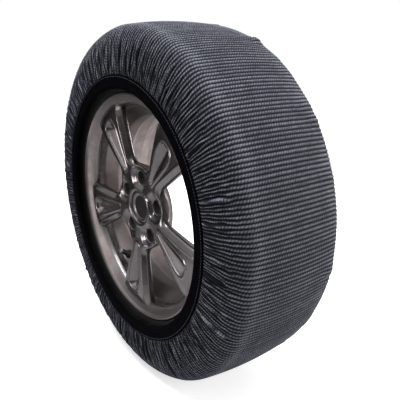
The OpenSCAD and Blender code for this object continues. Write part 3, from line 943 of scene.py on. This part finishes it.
def stitches(name, sign, count=312, segments=8):
    """Lockstitches along the hem: short threads that dip into the fabric at both ends."""
    # columns: thread radius, place along the stitch
    section = [(0.0, -1.75), (0.26, -1.6), (0.42, -1.0), (0.45, 0.0),
               (0.42, 1.0), (0.26, 1.6), (0.0, 1.75)]
    points, faces = [], []
    for i in range(count):
        a = 2 * math.pi * i / count
        centre = np.array([THREAD_R * math.cos(a), -sign * (HEM_HI - 0.12), THREAD_R * math.sin(a)])
        along = np.array([-math.sin(a), 0, math.cos(a)])
        upward = np.array([0, -sign, 0.0])
        across = np.cross(along, upward)
        rows = []
        for radius, x in section:
            dip = -0.28 * (x / 1.7) ** 2
            if radius == 0:
                rows.append([len(points)])
                points.append(centre + along * x + upward * dip)
                continue
            rows.append(list(range(len(points), len(points) + segments)))
            for k in range(segments):
                b = 2 * math.pi * k / segments
                points.append(centre + along * x + upward * (dip + radius * math.cos(b))
                              + across * radius * math.sin(b))
        for low, high in zip(rows, rows[1:]):
            for k in range(segments):
                k2 = (k + 1) % segments
                if len(low) == 1:
                    faces.append((low[0], high[k], high[k2]))
                elif len(high) == 1:
                    faces.append((low[k], high[0], low[k2]))
                else:
                    faces.append((low[k], high[k], high[k2], low[k2]))
    return smooth_object(name, np.array(points), faces)


SIDES = (("outer", 1), ("inner", -1))
for side_name, sign in SIDES:
    piece(hem_piece(f"{side_name}_hem_band", sign), f"{side_name}_hem", "sock", "hem_fabric")
for side_name, sign in SIDES:
    piece(stitches(f"{side_name}_hem_stitching", sign), f"{side_name}_hem_thread", "sock",
          "hem_thread")


# ---------------------------------------------------------------- the tyre's sidewalls
def sidewall_section():
    # line that the moulding's hidden faces follow: down the side, round the bead, up again
    line_h = SIDE_H - 4.2
    line_r = TREAD_R - 16.1
    side = bezier([line_r - 72 * 72 / 1300, 72], [line_r - 6.4, 90], [line_r - 24.9, line_h],
                  [252, line_h], 20)
    low = bezier([252, line_h], [232, line_h], [222, 66], [203, 60.3], 16)
    a = np.radians(np.linspace(0, 180, 13))
    bead_loop = np.array([198.5, 66.5]) + 6.2 * np.stack([-np.sin(a), -np.cos(a)], -1)
    rise = bezier([198.5, 72.7], [207, 72.7], [219, 84.5], [231, 90], 12)
    under = offset(np.concatenate([low[15:], bead_loop[:12], rise]), -0.72)
    inside = offset(np.concatenate([side[:20], low]), 0.7)
    # visible side, with fine raised rings above the rim
    lower = bezier([SIDE_R, SIDE_H], [238, SIDE_H], [226, 91.5], [210.2, 88], 60)
    r = lower[:, 0]
    rings = (0.45 * np.clip(np.cos((r - 211.5) * 2 * np.pi / 3.4), 0, 1) ** 2
             * smoothstep((r - 210.4) / 1) * smoothstep((226 - r) / 3))
    rings += 0.8 * np.exp(-((r - 229.5) / 1.2) ** 2)
    lower = lower + np.stack([0 * rings, rings * 0.9], -1)
    shoulder = bezier(*SHOULDER, 20)
    return np.concatenate([
        [toward(shoulder[7], shoulder[8], 0.15)], shoulder[8:20], lower,
        [[209.2, 86.6], [208.5, 85.9]],
        arc(FLANGE_C, FLANGE_R + 0.1, -10, -90, 8), arc(HEEL_C, HEEL_R - 0.1, 90, 180, 6),
        [[188.9, 57.6], [189.6, 56.6], [194, 56.8], [202.8, 58.1]],
        under[2:], [toward(under[-1], under[-2], -1.0)],
        inside[7:25][::-1], [toward(inside[6], inside[7], 0.15)]])


SIDEWALL = sidewall_section()
for side_name, section in (("outer", SIDEWALL), ("inner", flip(SIDEWALL))):
    piece(lathe(f"{side_name}_sidewall_moulded", section, 300), f"{side_name}_sidewall",
          "wheel", "sidewall_rubber")


# ---------------------------------------------------------------- the wheel
SECTORS = 5
STEP = 360 // SECTORS                           # degrees between windows
FIRST_WINDOW = 82.0                             # angle of a window's middle
FIRST_ARM = FIRST_WINDOW + STEP // 2
PLATE_R = 203.0
LUG_R = 56.0                                    # lug holes' distance from the axle
LUG_SEAT_R, LUG_HOLE_R = 12.8, 7.5
BORE_OUTER_R, BORE_INNER_R = 30.6, 28.55
# heights of the plate's two faces: row of radii, row of heights
FRONT_STATIONS = ([0, 40, 62, 80, 110, 150, 170, 180, 188, 194, 198, 203],
                  [74.2, 74.2, 74.6, 76.6, 79.6, 82.2, 82.8, 82.3, 81.0, 79.4, 78.9, 79.4])
BACK_STATIONS = ([0, 71, 75, 83, 105, 150, 185, 187.5, 193, 196, 203],
                 [45, 45, 50, 59, 61, 62.5, 63, 70, 76.6, 77.6, 78.0])


def barrel_section():
    """Closed section of the rim, from the outer lip along the tyre side and back inside."""
    lip = fillet([[189.5, 76.5], [195, 80.3], [200.2, 83.4], [202.0, 87.0], [203.4, 88.4],
                  [205.8, 88.4], [207.4, 87.2], [207.4, 85.7]],
                 [0, 5, 2.6, 1.6, 1.0, 1.2, 0.8, 0], 5, closed=False)
    flange = arc(FLANGE_C, FLANGE_R, 0, -90, 14)[1:]
    heel = arc(HEEL_C, HEEL_R, 90, 180, 10)
    well = fillet([[190.05, 69], [188.7, 56.5], [189.6, 53.5], [189.6, 51.5], [187.5, 48],
                   [170.5, 31], [170.5, 28], [170.5, 8], [180, -4], [181.5, -30], [187.5, -46],
                   [189.6, -51.5], [189.6, -53.5], [188.7, -56.5], [190.05, -69]],
                  2.5, 4, closed=False)
    inside = fillet([[207.4, -85.7], [207.4, -87.2], [205.6, -88.4], [201.8, -88.4],
                     [198.4, -86.6], [194, -81.2], [188, -77.8], [184, -75.4], [182.5, -72],
                     [182.5, -52], [181, -47.5], [175.5, -31], [174.2, -6], [164.3, 6],
                     [164.4, 30.5], [183.1, 50.5], [183.6, 64], [185.6, 70.5], [189.5, 76.5]],
                    [0, 0.8, 1.4, 1.6, 2, 2.5, 3, 3, 3, 3, 3, 6, 9, 8, 9, 12, 10, 8, 0],
                    4, closed=False)
    return clockwise(drop_repeats(np.concatenate([
        lip, flange, heel, well, flip(heel)[::-1], flip(flange)[::-1], inside[1:]])))


def rounded(corners, radii, steps, spacing):
    """A polygon with exact arcs at its corners, divided evenly at about the spacing."""
    corners = np.array(corners, float)
    out = []
    for i in range(len(corners)):
        a, b, c = corners[i - 1], corners[i], corners[(i + 1) % len(corners)]
        u, v = (a - b) / np.linalg.norm(a - b), (c - b) / np.linalg.norm(c - b)
        half = math.acos(np.clip(u @ v, -1, 1)) / 2
        r = radii[i]
        middle = b + (u + v) / np.linalg.norm(u + v) * r / math.sin(half)
        first = b + u * r / math.tan(half) - middle
        last = b + v * r / math.tan(half) - middle
        start, end = math.atan2(first[1], first[0]), math.atan2(last[1], last[0])
        sweep = (end - start + math.pi) % (2 * math.pi) - math.pi
        for t in np.linspace(0, 1, steps + 1):
            angle = start + sweep * t
            out.append(middle + r * np.array([math.cos(angle), math.sin(angle)]))
    loop = np.array(out + out[:1])
    along = distances(loop)
    count = int(round(along[-1] / spacing))
    return points_at(loop, along, np.arange(count) * along[-1] / count)


def polar(radius, degrees):
    return [radius * math.cos(math.radians(degrees)), radius * math.sin(math.radians(degrees))]


def circle(centre, radius, count):
    a = angles_round(count)
    return np.stack([centre[0] + radius * np.cos(a), centre[1] + radius * np.sin(a)], -1)


def rotated(points, degrees):
    c, s = math.cos(math.radians(degrees)), math.sin(math.radians(degrees))
    return np.stack([points[:, 0] * c - points[:, 1] * s,
                     points[:, 0] * s + points[:, 1] * c], -1)


def clearance(points, loop):
    """Distance to a closed polygon, negative inside it."""
    a, b = loop, np.roll(loop, -1, 0)
    d = b - a
    best = np.full(len(points), 1e9)
    inside = np.zeros(len(points), bool)
    for i in range(len(a)):
        rel = points - a[i]
        t = np.clip((rel @ d[i]) / (d[i] @ d[i]), 0, 1)
        q = rel - t[:, None] * d[i]
        best = np.minimum(best, (q * q).sum(1))
        crosses = (a[i, 1] > points[:, 1]) != (b[i, 1] > points[:, 1])
        with np.errstate(divide="ignore", invalid="ignore"):
            x = d[i, 0] * (points[:, 1] - a[i, 1]) / d[i, 1] + a[i, 0]
        inside ^= crosses & (points[:, 0] < x)
    return np.sqrt(best) * np.where(inside, -1, 1)


# outlines in the wheel's plane, centred on the +X axis: corners, corner radii
WINDOW = rounded([polar(83, 20), polar(83, -20), polar(197, -20.6), polar(200, -10),
                  polar(200, 10), polar(197, 20.6)], [15, 15, 9, 60, 60, 9], 14, spacing=2.2)
POCKET = rounded([[73, 3.4], [73, -3.4], [146, -16.5], [172, -16.5], [172, 16.5], [146, 16.5]],
                 [3, 3, 60, 14, 14, 60], 14, spacing=2.0)
SLIT = rounded([[82, 1.4], [82, -1.4], [150, -5.6], [168, -5.6], [168, 5.6], [150, 5.6]],
               [1.2, 1.2, 40, 5.2, 5.2, 40], 10, spacing=1.6)


def to_sector(points, first):
    """Turns every point to the sector whose centre is nearest, so the pattern is drawn once."""
    a = np.degrees(np.arctan2(points[:, 1], points[:, 0]))
    rel = (a - first + STEP / 2) % STEP - STEP / 2
    r = np.hypot(points[:, 0], points[:, 1])
    return np.stack([r * np.cos(np.radians(rel)), r * np.sin(np.radians(rel))], -1)


def to_features(points):
    """Distances to the nearest window, pocket, slit and lug hole centre."""
    window_side = to_sector(points, FIRST_WINDOW)
    arm_side = to_sector(points, FIRST_ARM)
    return (clearance(window_side, WINDOW), clearance(arm_side, POCKET),
            clearance(arm_side, SLIT), np.hypot(window_side[:, 0] - LUG_R, window_side[:, 1]))


def front_height(points):
    r = np.hypot(points[:, 0], points[:, 1])
    window, pocket, slit, lug = to_features(points)
    h = np.interp(r, *FRONT_STATIONS)
    arm = smoothstep((r - 62) / 30) * smoothstep((197 - r) / 10)
    # each half of an arm: a face that leans away from the pocket, a crease, then a bevel
    # down to the window
    h -= 2.6 * np.clip(1 - window / 26, 0, 1) ** 1.6 * smoothstep((r - 60) / 40)
    bevel = np.clip(9.5 - window, 0, 9.5)
    h -= (np.sqrt((0.62 * bevel) ** 2 + 0.35) - 0.59) * arm
    h += 0.55 * np.exp(-((window - 10.2) / 1.5) ** 2) * arm
    # raised lip round the pocket and its hollow walls, with the slit in its floor
    h += 1.3 * np.exp(-((pocket - 2.0) / 1.9) ** 2) * smoothstep((r - 66) / 12)
    h -= 12.2 * smoothstep(-pocket / 14.5) ** 0.8 * smoothstep((r - 66) / 10)
    h -= 0.9 * smoothstep(-pocket / 1.3)
    h -= 3.6 * smoothstep(0.3 - slit / 1.4) * smoothstep((r - 80) / 16)
    # lug seats lie in shallow dishes between the arms
    h -= 5.4 * smoothstep((29 - lug) / 15) * smoothstep((r - 35) / 12)
    h -= 1.3 * np.clip((15.0 - lug) / 2.2, 0, 1) ** 2
    # ring round the cap
    h += 1.2 * np.exp(-((r - 35.5) / 2.4) ** 2)
    h -= 1.2 * np.clip((32.6 - r) / 2.0, 0, 1) ** 2
    # rounded edge at the windows
    edge_r = 3.2
    e = np.clip(edge_r - window, 0, edge_r)
    h -= (edge_r - np.sqrt(np.maximum(edge_r * edge_r - e * e, 0))) * smoothstep((200 - r) / 6)
    return h


def back_height(points):
    r = np.hypot(points[:, 0], points[:, 1])
    edge_r = 4
    e = np.clip(edge_r - clearance(to_sector(points, FIRST_WINDOW), WINDOW), 0, edge_r)
    rounding = edge_r - np.sqrt(np.maximum(edge_r * edge_r - e * e, 0))
    return (np.interp(r, *BACK_STATIONS)
            + rounding * smoothstep((r - 74) / 6) * smoothstep((186 - r) / 6))


def kd_tree(points):
    tree = KDTree(len(points))
    for i, p in enumerate(points):
        tree.insert((p[0], p[1], 0), i)
    tree.balance()
    return tree


def thinned(guides, fixed, cell=0.55):
    """The guide points that crowd neither the fixed points nor each other."""
    tree = kd_tree(fixed)
    cells, kept = {}, []
    for x, y in guides:
        if tree.find((x, y, 0))[2] <= 0.18:
            continue
        col, row = int(x // cell), int(y // cell)
        near = [p for dx in (-1, 0, 1) for dy in (-1, 0, 1)
                for p in cells.get((col + dx, row + dy), ())]
        if all((p[0] - x) ** 2 + (p[1] - y) ** 2 >= cell * cell * 0.6 for p in near):
            cells.setdefault((col, row), []).append((x, y))
            kept.append((x, y))
    return kept


def plate_mesh(holes, guides, spacing):
    """A triangulated disc with holes, finer along the guide points.

    Returns its points, its triangles and the point numbers of the rim and of each hole."""
    points, edges, spans = [], [], []
    for loop in [circle((0, 0), PLATE_R, 360), *holes]:
        base, n = len(points), len(loop)
        points.extend(tuple(p) for p in loop)
        edges.extend((base + i, base + (i + 1) % n) for i in range(n))
        spans.append((base, n))
    fixed = len(points)
    points += thinned(guides, points)
    tree = kd_tree(points)
    # staggered filling
    n = int(2 * PLATE_R / spacing) + 2
    for i in range(n):
        for j in range(int(n / 0.866) + 1):
            x = -PLATE_R + i * spacing + (0.5 * spacing if j % 2 else 0)
            y = -PLATE_R + j * spacing * 0.866
            if x * x + y * y > (PLATE_R - 1) ** 2:
                continue
            if tree.find((x, y, 0))[2] > spacing * 0.62:
                points.append((x, y))
    points = np.array(points)
    in_hole = np.zeros(len(points), bool)
    for loop in holes:
        in_hole[fixed:] |= clearance(points[fixed:], loop) < 0.05
    vectors = [Vector((p[0], p[1])) for p in points[~in_hole]]
    found, _, faces, origins, _, _ = delaunay_2d_cdt(vectors, edges, [], 0, 1e-6)
    flat = np.array([[v.x, v.y] for v in found])
    number = {old: new for new, olds in enumerate(origins) for old in olds}
    triangles = np.array([list(f) for f in faces if len(f) == 3])
    centres = flat[triangles].mean(1)
    solid = np.hypot(centres[:, 0], centres[:, 1]) < PLATE_R
    for loop in holes:
        solid &= clearance(centres, loop) > 0
    return flat, triangles[solid], [[number[base + i] for i in range(n)] for base, n in spans]


def guides_round(loop, offsets, first, slack=None):
    """Guide points on offsets of a loop, in every sector.

    With slack, points whose true distance strays from the offset are left out."""
    t = np.roll(loop, -1, 0) - np.roll(loop, 1, 0)
    t /= np.linalg.norm(t, axis=1)[:, None]
    normals = np.stack([t[:, 1], -t[:, 0]], -1)
    if clearance(loop[:1] + normals[:1] * 0.5, loop)[0] < 0:
        normals = -normals
    guides = []
    for distance in offsets:
        q = loop + normals * distance
        q = q[np.hypot(q[:, 0], q[:, 1]) < 201.0]
        if slack is not None:
            q = q[np.abs(clearance(q, loop) - distance) < slack * abs(distance) + 0.05]
        for i in range(SECTORS):
            guides += rotated(q, first + i * STEP).tolist()
    return guides


def circles(radii, count):
    return [p for r in radii for p in circle((0, 0), r, count).tolist()]


def lug_centres():
    return [polar(LUG_R, FIRST_WINDOW + i * STEP) for i in range(SECTORS)]


def front_guides():
    guides = guides_round(WINDOW, (0.3, 0.8, 1.5, 2.4, 3.4, 5.0, 7.2, 8.8, 9.6, 10.4, 11.6),
                          FIRST_WINDOW, slack=0.15)
    guides += guides_round(POCKET, (6.5, 4.4, 2.9, 1.7, 0.8, 0, -0.5, -1.1, -2.0, -3.1, -4.4,
                                    -5.8, -7.4, -9.2), FIRST_ARM, slack=0.12)
    guides += guides_round(SLIT, (0.9, 0.4, -0.1, -0.6, -1.0, -1.8), FIRST_ARM, slack=0.12)
    for radius in (13.3, 13.9, 14.6, 15.3, 17.0, 19.5):
        for centre in lug_centres():
            q = circle(centre, radius, 64)
            guides += q[np.hypot(q[:, 0], q[:, 1]) > 31].tolist()
    guides += circles((31.2, 31.9, 32.7, 34.0, 35.5, 37.0, 39.0), 120)
    return guides + circles((176, 180, 184, 187, 190, 192.5, 195, 197, 199), 300)


def back_guides():
    return (guides_round(WINDOW, (0.8, 2.0, 3.6), FIRST_WINDOW)
            + circles((71, 73, 75, 79, 83), 200) + circles((185, 187.5, 190, 193, 196), 240))


def raised(flat, height):
    return np.stack([flat[:, 0], -height, flat[:, 1]], -1)


def facing(points, triangles, y_sign):
    """Triangles turned to face along +Y or -Y."""
    a, b, c = points[triangles[0]]
    return triangles[:, ::1 if np.cross(b - a, c - a)[1] * y_sign > 0 else -1]


def wheel_plate():
    """The wheel's face and back joined by walls. Returns points, faces and the flat front."""
    windows = [rotated(WINDOW, FIRST_WINDOW + i * STEP) for i in range(SECTORS)]

    def holes(lug_r, bore_r):
        return [*windows, *(circle(c, lug_r, 64) for c in lug_centres()),
                circle((0, 0), bore_r, 120)]

    flat, triangles, loops = plate_mesh(holes(LUG_SEAT_R, BORE_OUTER_R), front_guides(), 3.0)
    front = raised(flat, front_height(flat))
    faces = facing(front, triangles, -1).tolist()
    flat_b, triangles, loops_b = plate_mesh(holes(LUG_HOLE_R, BORE_INNER_R), back_guides(), 5.0)
    back = raised(flat_b, back_height(flat_b))
    faces += (facing(back, triangles, 1) + len(front)).tolist()
    loops_b = [[k + len(front) for k in loop] for loop in loops_b]
    both = np.concatenate([front, back])
    parts = [both]

    def wall(loop, rows, hole=True):
        """Joins a front loop to its back loop by rows of (flat points, heights)."""
        base, n = sum(map(len, parts)), len(loops[loop])
        chain = [loops[loop]]
        for i, (points, height) in enumerate(rows):
            parts.append(raised(points, height))
            chain.append(list(range(base + i * n, base + (i + 1) * n)))
        chain.append(loops_b[loop])
        for a, b in zip(chain, chain[1:]):
            for k in range(n):
                k2 = (k + 1) % n
                faces.append((a[k], a[k2], b[k2], b[k]) if hole else (a[k], b[k], b[k2], a[k2]))

    # loops: the rim, then windows, lug holes and bore
    for i in range(1, 1 + SECTORS):
        edge = both[loops[i]]
        high, low = -edge[:, 1], -both[loops_b[i]][:, 1]
        wall(i, [(edge[:, [0, 2]], high + (low - high) * t)
                 for t in (0.04, 0.15, 0.35, 0.6, 0.85, 0.96)])
    unit = circle((0, 0), 1.0, 64)
    seat_h = 61.3
    # columns: radius, height
    lug_steps = ((12.6, 61.0), (7.7, 56.2), (7.5, 55.8), (7.5, 50), (7.5, 46))
    for i, centre in enumerate(lug_centres(), 1 + SECTORS):
        centre = np.array(centre)
        high = -both[loops[i]][:, 1]
        rows = [(centre + unit * LUG_SEAT_R, high * (1 - t) + seat_h * t) for t in (0.08, 0.5, 1.0)]
        wall(i, rows + [(centre + unit * r, np.full(64, h)) for r, h in lug_steps])
    unit = circle((0, 0), 1.0, 120)
    bore_steps = ((30.6, 71), (30.6, 67.2), (30.4, 67.0), (28.2, 67.0), (28.0, 66.8), (28.0, 62),
                  (28.0, 58.0), (28.55, 57.9), (28.55, 50), (28.55, 46))
    wall(1 + 2 * SECTORS, [(unit * r, np.full(120, h)) for r, h in bore_steps])
    wall(0, [], hole=False)
    return np.concatenate(parts), faces, flat


def dust_and_shade_on(points, plate_count):
    """Dust and painted shade: the pockets a little darker and the slits and the inside of the lug holes black,
    painted shade; dirt colour on the plate's deeper faces and inside the barrel, partly dust and partly painted
    shade.
    """
    r, h = np.hypot(points[:, 0], points[:, 2]), -points[:, 1]
    _, pocket, slit, lug = to_features(points[:, [0, 2]])
    # the pockets a little darker and the slits black: painted shade
    pit = 0.12 * smoothstep(-pocket / 6) + 1.6 * smoothstep(0.5 - slit / 1.2)
    # the plate's deeper faces take dirt colour; the lug holes go black inside, a painted shade
    on_plate = (pit + smoothstep((66 - h) / 14) * 0.8
                + 1.9 * smoothstep((13.4 - lug) / 0.4) * smoothstep((70.0 - h) / 3))
    on_barrel = smoothstep((66 - h) / 42) * smoothstep((190 - r) / 2.5) * 0.95
    dust_and_shade = np.where(np.arange(len(points)) < plate_count, on_plate, on_barrel)
    # on the left the lip takes full dirt cover, pale there from the painted light, and its outer edge is painted
    # black: a painted shadow of the hem and tyre
    degrees = np.degrees(np.arctan2(points[:, 2], points[:, 0]))
    left_lip_dust_and_shadow = np.exp(-(((degrees - 196 + 180) % 360 - 180) / 62.0) ** 4)
    lip = smoothstep((r - 186) / 5) * (h > 50)
    dust_and_shade = np.maximum(dust_and_shade, 0.3 * lip)
    dust_and_shade = np.maximum(dust_and_shade, left_lip_dust_and_shadow * lip) + left_lip_dust_and_shadow * 0.95 * smoothstep((r - 199) / 4) * (h > 60)
    return np.clip(dust_and_shade, 0, 2)


def front_normals(flat):
    """Normals from the face's height, so the glossy metal reads smooth; zero at the windows."""
    e = np.where(np.hypot(flat[:, 0], flat[:, 1]) > 182, 0.9, 0.3)

    def slope(step):
        return (front_height(flat + step) - front_height(flat - step)) / (2 * e)

    slope_x, slope_z = slope(np.stack([e, 0 * e], -1)), slope(np.stack([0 * e, e], -1))
    normals = np.stack([-slope_x, -np.ones(len(flat)), -slope_z], -1)
    normals[clearance(to_sector(flat, FIRST_WINDOW), WINDOW) < 0.02] = 0
    return normals / np.maximum(np.linalg.norm(normals, axis=1), 1e-9)[:, None]


def build_wheel():
    plate, faces, flat = wheel_plate()
    section = barrel_section()
    faces += grid_faces(len(section), 300, wrap_rows=True, base=len(plate))
    points = np.concatenate([plate, turn_section(section, 300).reshape(-1, 3)])
    obj = smooth_object("alloy_wheel_casting", points, faces, sharp=38)
    put_attr(obj, "dust_and_shade", dust_and_shade_on(points, len(plate)))
    # zero leaves a point its own normal
    normals = np.zeros((len(points), 3))
    normals[:len(flat)] = front_normals(flat)
    obj.data.normals_split_custom_set_from_vertices(normals.tolist())
    return obj


piece(build_wheel(), "alloy_wheel", "wheel", "wheel_alloy")


# ---------------------------------------------------------------- centre cap
def centre_cap():
    section = fillet([[0, 68.0], [17, 68.2], [21.5, 68.7], [23.6, 69.9], [26.4, 70.7],
                      [29.2, 70.2], [30.1, 68.9], [30.1, 67.3], [27.7, 67.3], [27.7, 59.0],
                      [27.3, 58.3], [25.5, 58.3], [25.5, 65.4], [0, 65.4]],
                     [0, 6, 1.5, 1.2, 1.4, 1.0, 0.6, 0.2, 0.2, 0.3, 0.3, 0.3, 0.6, 0],
                     5, closed=False)
    return axis_lathe("centre_cap_moulding", section, (0, 0, 0), (0, -1, 0), 128, sharp=40)


piece(centre_cap(), "centre_cap", "hub_cap", "cap_plastic")

# ---------------------------------------------------------------- valve
lid_joint = next(j for j in frame["joints"] if j["name"] == "valve_cap_turn")
VALVE_AXIS = np.array(lid_joint["axis"], float)
VALVE_AXIS /= np.linalg.norm(VALVE_AXIS)
VALVE_ORIGIN = np.array(lid_joint["pos_m"], float) * MM - 35.0 * VALVE_AXIS


def valve_stem():
    section = fillet([[2.75, -16], [5.2, -16], [6.4, -13], [7.9, -6], [7.9, -2.75], [5.6, -2.4],
                      [5.6, 2.4], [9.2, 2.75], [9.2, 4.0], [7.6, 6.0], [6.9, 8.2], [7.1, 9.0],
                      [6.9, 9.8], [6.2, 11], [5.9, 16], [5.6, 21], [4.9, 27.2], [4.4, 28],
                      [2.75, 28]],
                     [0.2, 0.6, 1.5, 1.5, 0.4, 0.2, 0.2, 0.5, 0.6, 1.2, 0.6, 0.5, 0.6, 1.2,
                      2, 2, 0.8, 0.4, 0.2])
    return axis_lathe("valve_stem_rubber", section, VALVE_ORIGIN, VALVE_AXIS, 64, sharp=35)


def knurled_cap(segments=120, knurls=20, knurl_depth=0.28):
    th = angles_round(segments)
    # columns: radius, distance along the valve, share of the knurl; from the bore's end
    # out over the top
    stations = [
        (3.0, 39.6, 0), (3.93, 38.9, 0), (3.93, 29.2, 0), (4.7, 29.2, 0), (4.95, 29.6, 1),
        (4.95, 31, 1), (4.95, 35, 1), (4.95, 39.2, 1), (4.8, 40.3, 0.6), (4.3, 41.1, 0),
        (3.4, 41.5, 0), (1.5, 41.65, 0)]
    _, x, y = axes_across(VALVE_AXIS)
    points = []
    for radius, along, share in stations:
        r = radius - knurl_depth * share * (0.5 - 0.5 * np.cos(knurls * th))
        points.append(VALVE_ORIGIN + VALVE_AXIS * along
                      + np.outer(r * np.cos(th), x) + np.outer(r * np.sin(th), y))
    tips = [np.array([VALVE_ORIGIN + VALVE_AXIS * along]) for along in (41.65, 39.6)]
    rows = len(stations)
    faces = grid_faces(rows, segments)
    top, bottom, last = rows * segments, rows * segments + 1, (rows - 1) * segments
    for k in range(segments):
        k2 = (k + 1) % segments
        faces.append((last + k, last + k2, top))
        faces.append((k2, k, bottom))
    return smooth_object("valve_cap_knurled", np.concatenate(points + tips), faces, sharp=40)


piece(valve_stem(), "valve_body", "wheel", "valve_rubber")
piece(knurled_cap(), "valve_cap", "valve_lid", "cap_plastic")

# ---------------------------------------------------------------- CAD parts with softened edges
for node_name, width in (("balance_weights", 0.0005), ("weight_tape", 0.0001)):
    bevel = frame["nodes"][node_name].modifiers.new("edge", "BEVEL")
    bevel.width = width
    bevel.segments = 2
    bevel.limit_method = "ANGLE"


# ---------------------------------------------------------------- stage, light and camera (metres)
def floor_material():
    """White to the camera, with its own tones for bounced light and for reflections."""
    m = Material("pale_floor")
    cloudy = m.noise(scale=3, detail=2)
    camera = m.ray("Camera")
    seen = m.ramp(cloudy, [(0.3, (0.86, 0.86, 0.86)), (0.7, (0.88, 0.88, 0.88))])
    mirror = m.ray("Glossy")
    toward_rear = m.filled("ShaderNodeVectorMath", "Value", {0: m.coords(), 1: (0.6, 0.8, 0.0)},
                           operation="DOT_PRODUCT")
    rear = m.remap(toward_rear, src=(-0.5, 0.9), to=(0.0, 1.0))
    far = m.filled("ShaderNodeVectorMath", "Value", {0: m.coords()}, operation="LENGTH")
    near = m.remap(far, src=(0.35, 1.3), to=(1.0, 0.0))
    front = m.mix(near, (0.03, 0.028, 0.028), (0.66, 0.64, 0.65))
    bounce = m.mix(mirror, (0.42, 0.42, 0.43), m.mix(rear, front, (0.85, 0.84, 0.83)))
    glow = m.remap(far, src=(0.25, 1.2), to=(0.50, 1.3))
    return m.finish(
        Base_Color=m.mix(camera, bounce, seen), Emission_Color=(1.0, 1.0, 1.0),
        Emission_Strength=camera * glow, Roughness=0.9, Specular_IOR_Level=0.05)


def stage_floor(half=6.0):
    z = -FABRIC_R / MM - 0.004
    obj = add_mesh("floor", [(-half, -half, z), (half, -half, z), (half, half, z),
                             (-half, half, z)], [(0, 1, 2, 3)])
    obj.data.materials.append(floor_material())


def studio_world():
    """White to the camera; brighter upwards for diffuse light and for reflections."""
    world = bpy.data.worlds.new("studio")
    bpy.context.scene.world = world
    world.use_nodes = True
    g = Graph(world.node_tree)
    up = g.xyz(g.coords("Generated"))[2]
    path = g.node("ShaderNodeLightPath")
    diffuse = g.remap(up, src=(0.0, 1.0), to=(0.09, 0.6))
    mirror = g.remap(up, src=(0.12, 0.85), to=(0.045, 1.35))
    sky = g.mix(Wire(g, path.outputs["Is Glossy Ray"]), diffuse, mirror, kind="FLOAT")
    sky = g.mix(Wire(g, path.outputs["Is Camera Ray"]), sky, 1.0, kind="FLOAT")
    background = world.node_tree.nodes["Background"]
    g.feed(background.inputs["Strength"], sky)
    g.feed(background.inputs["Color"], (1, 1, 1))


def area(name, at, target, size, power, color=(1, 1, 1)):
    light = bpy.data.lights.new(name, "AREA")
    light.shape = "RECTANGLE"
    light.size, light.size_y = size
    light.energy = power
    light.color = color
    obj = bpy.data.objects.new(name, light)
    bpy.context.scene.collection.objects.link(obj)
    obj.location = at
    obj.rotation_euler = (Vector(target) - Vector(at)).to_track_quat("-Z", "Y").to_euler()


def add_camera():
    azimuth, elevation, roll = math.radians(57.3), math.radians(15.0), math.radians(-2.8)
    distance = 0.911
    back = Vector((math.sin(azimuth) * math.cos(elevation),
                   -math.cos(azimuth) * math.cos(elevation), math.sin(elevation)))
    right = Vector((math.cos(azimuth), math.sin(azimuth), 0))
    up = back.cross(right)
    rolled_right = right * math.cos(roll) + up * math.sin(roll)
    rolled_up = up * math.cos(roll) - right * math.sin(roll)
    camera = bpy.data.cameras.new("camera")
    camera.sensor_width = 36
    camera.lens = 42.7275
    camera.shift_x = 0.070125
    camera.clip_start = 0.02
    obj = bpy.data.objects.new("camera", camera)
    bpy.context.scene.collection.objects.link(obj)
    turned = Matrix((rolled_right, rolled_up, back)).transposed()
    obj.matrix_world = Matrix.Translation(back * distance) @ turned.to_4x4()
    bpy.context.scene.camera = obj


stage_floor()
studio_world()
area("key_top", at=(0.0, -0.35, 2.3), target=(0, 0, 0.1), size=(1.6, 1.6), power=78,
     color=(0.94, 0.97, 1.0))
area("right_soft", at=(2.2, 0.9, 0.7), target=(0, 0, 0), size=(1.0, 1.6), power=12)
area("front_strip", at=(-0.55, -2.0, -0.1), target=(0, 0, -0.1), size=(0.5, 0.7), power=12,
     color=(1.0, 0.96, 0.95))
area("rear_fill", at=(1.1, 1.9, 0.25), target=(-0.16, 0, 0), size=(0.7, 0.7), power=34,
     color=(1.0, 0.955, 0.94))
area("front_low", at=(0.2, -1.9, 1.1), target=(0, 0, 0), size=(0.4, 0.4), power=2.0,
     color=(1.0, 0.97, 0.94))
add_camera()
try:
    bpy.context.scene.view_settings.view_transform = "Standard"
except TypeError:
    pass    # a colour configuration without a Standard view keeps its own
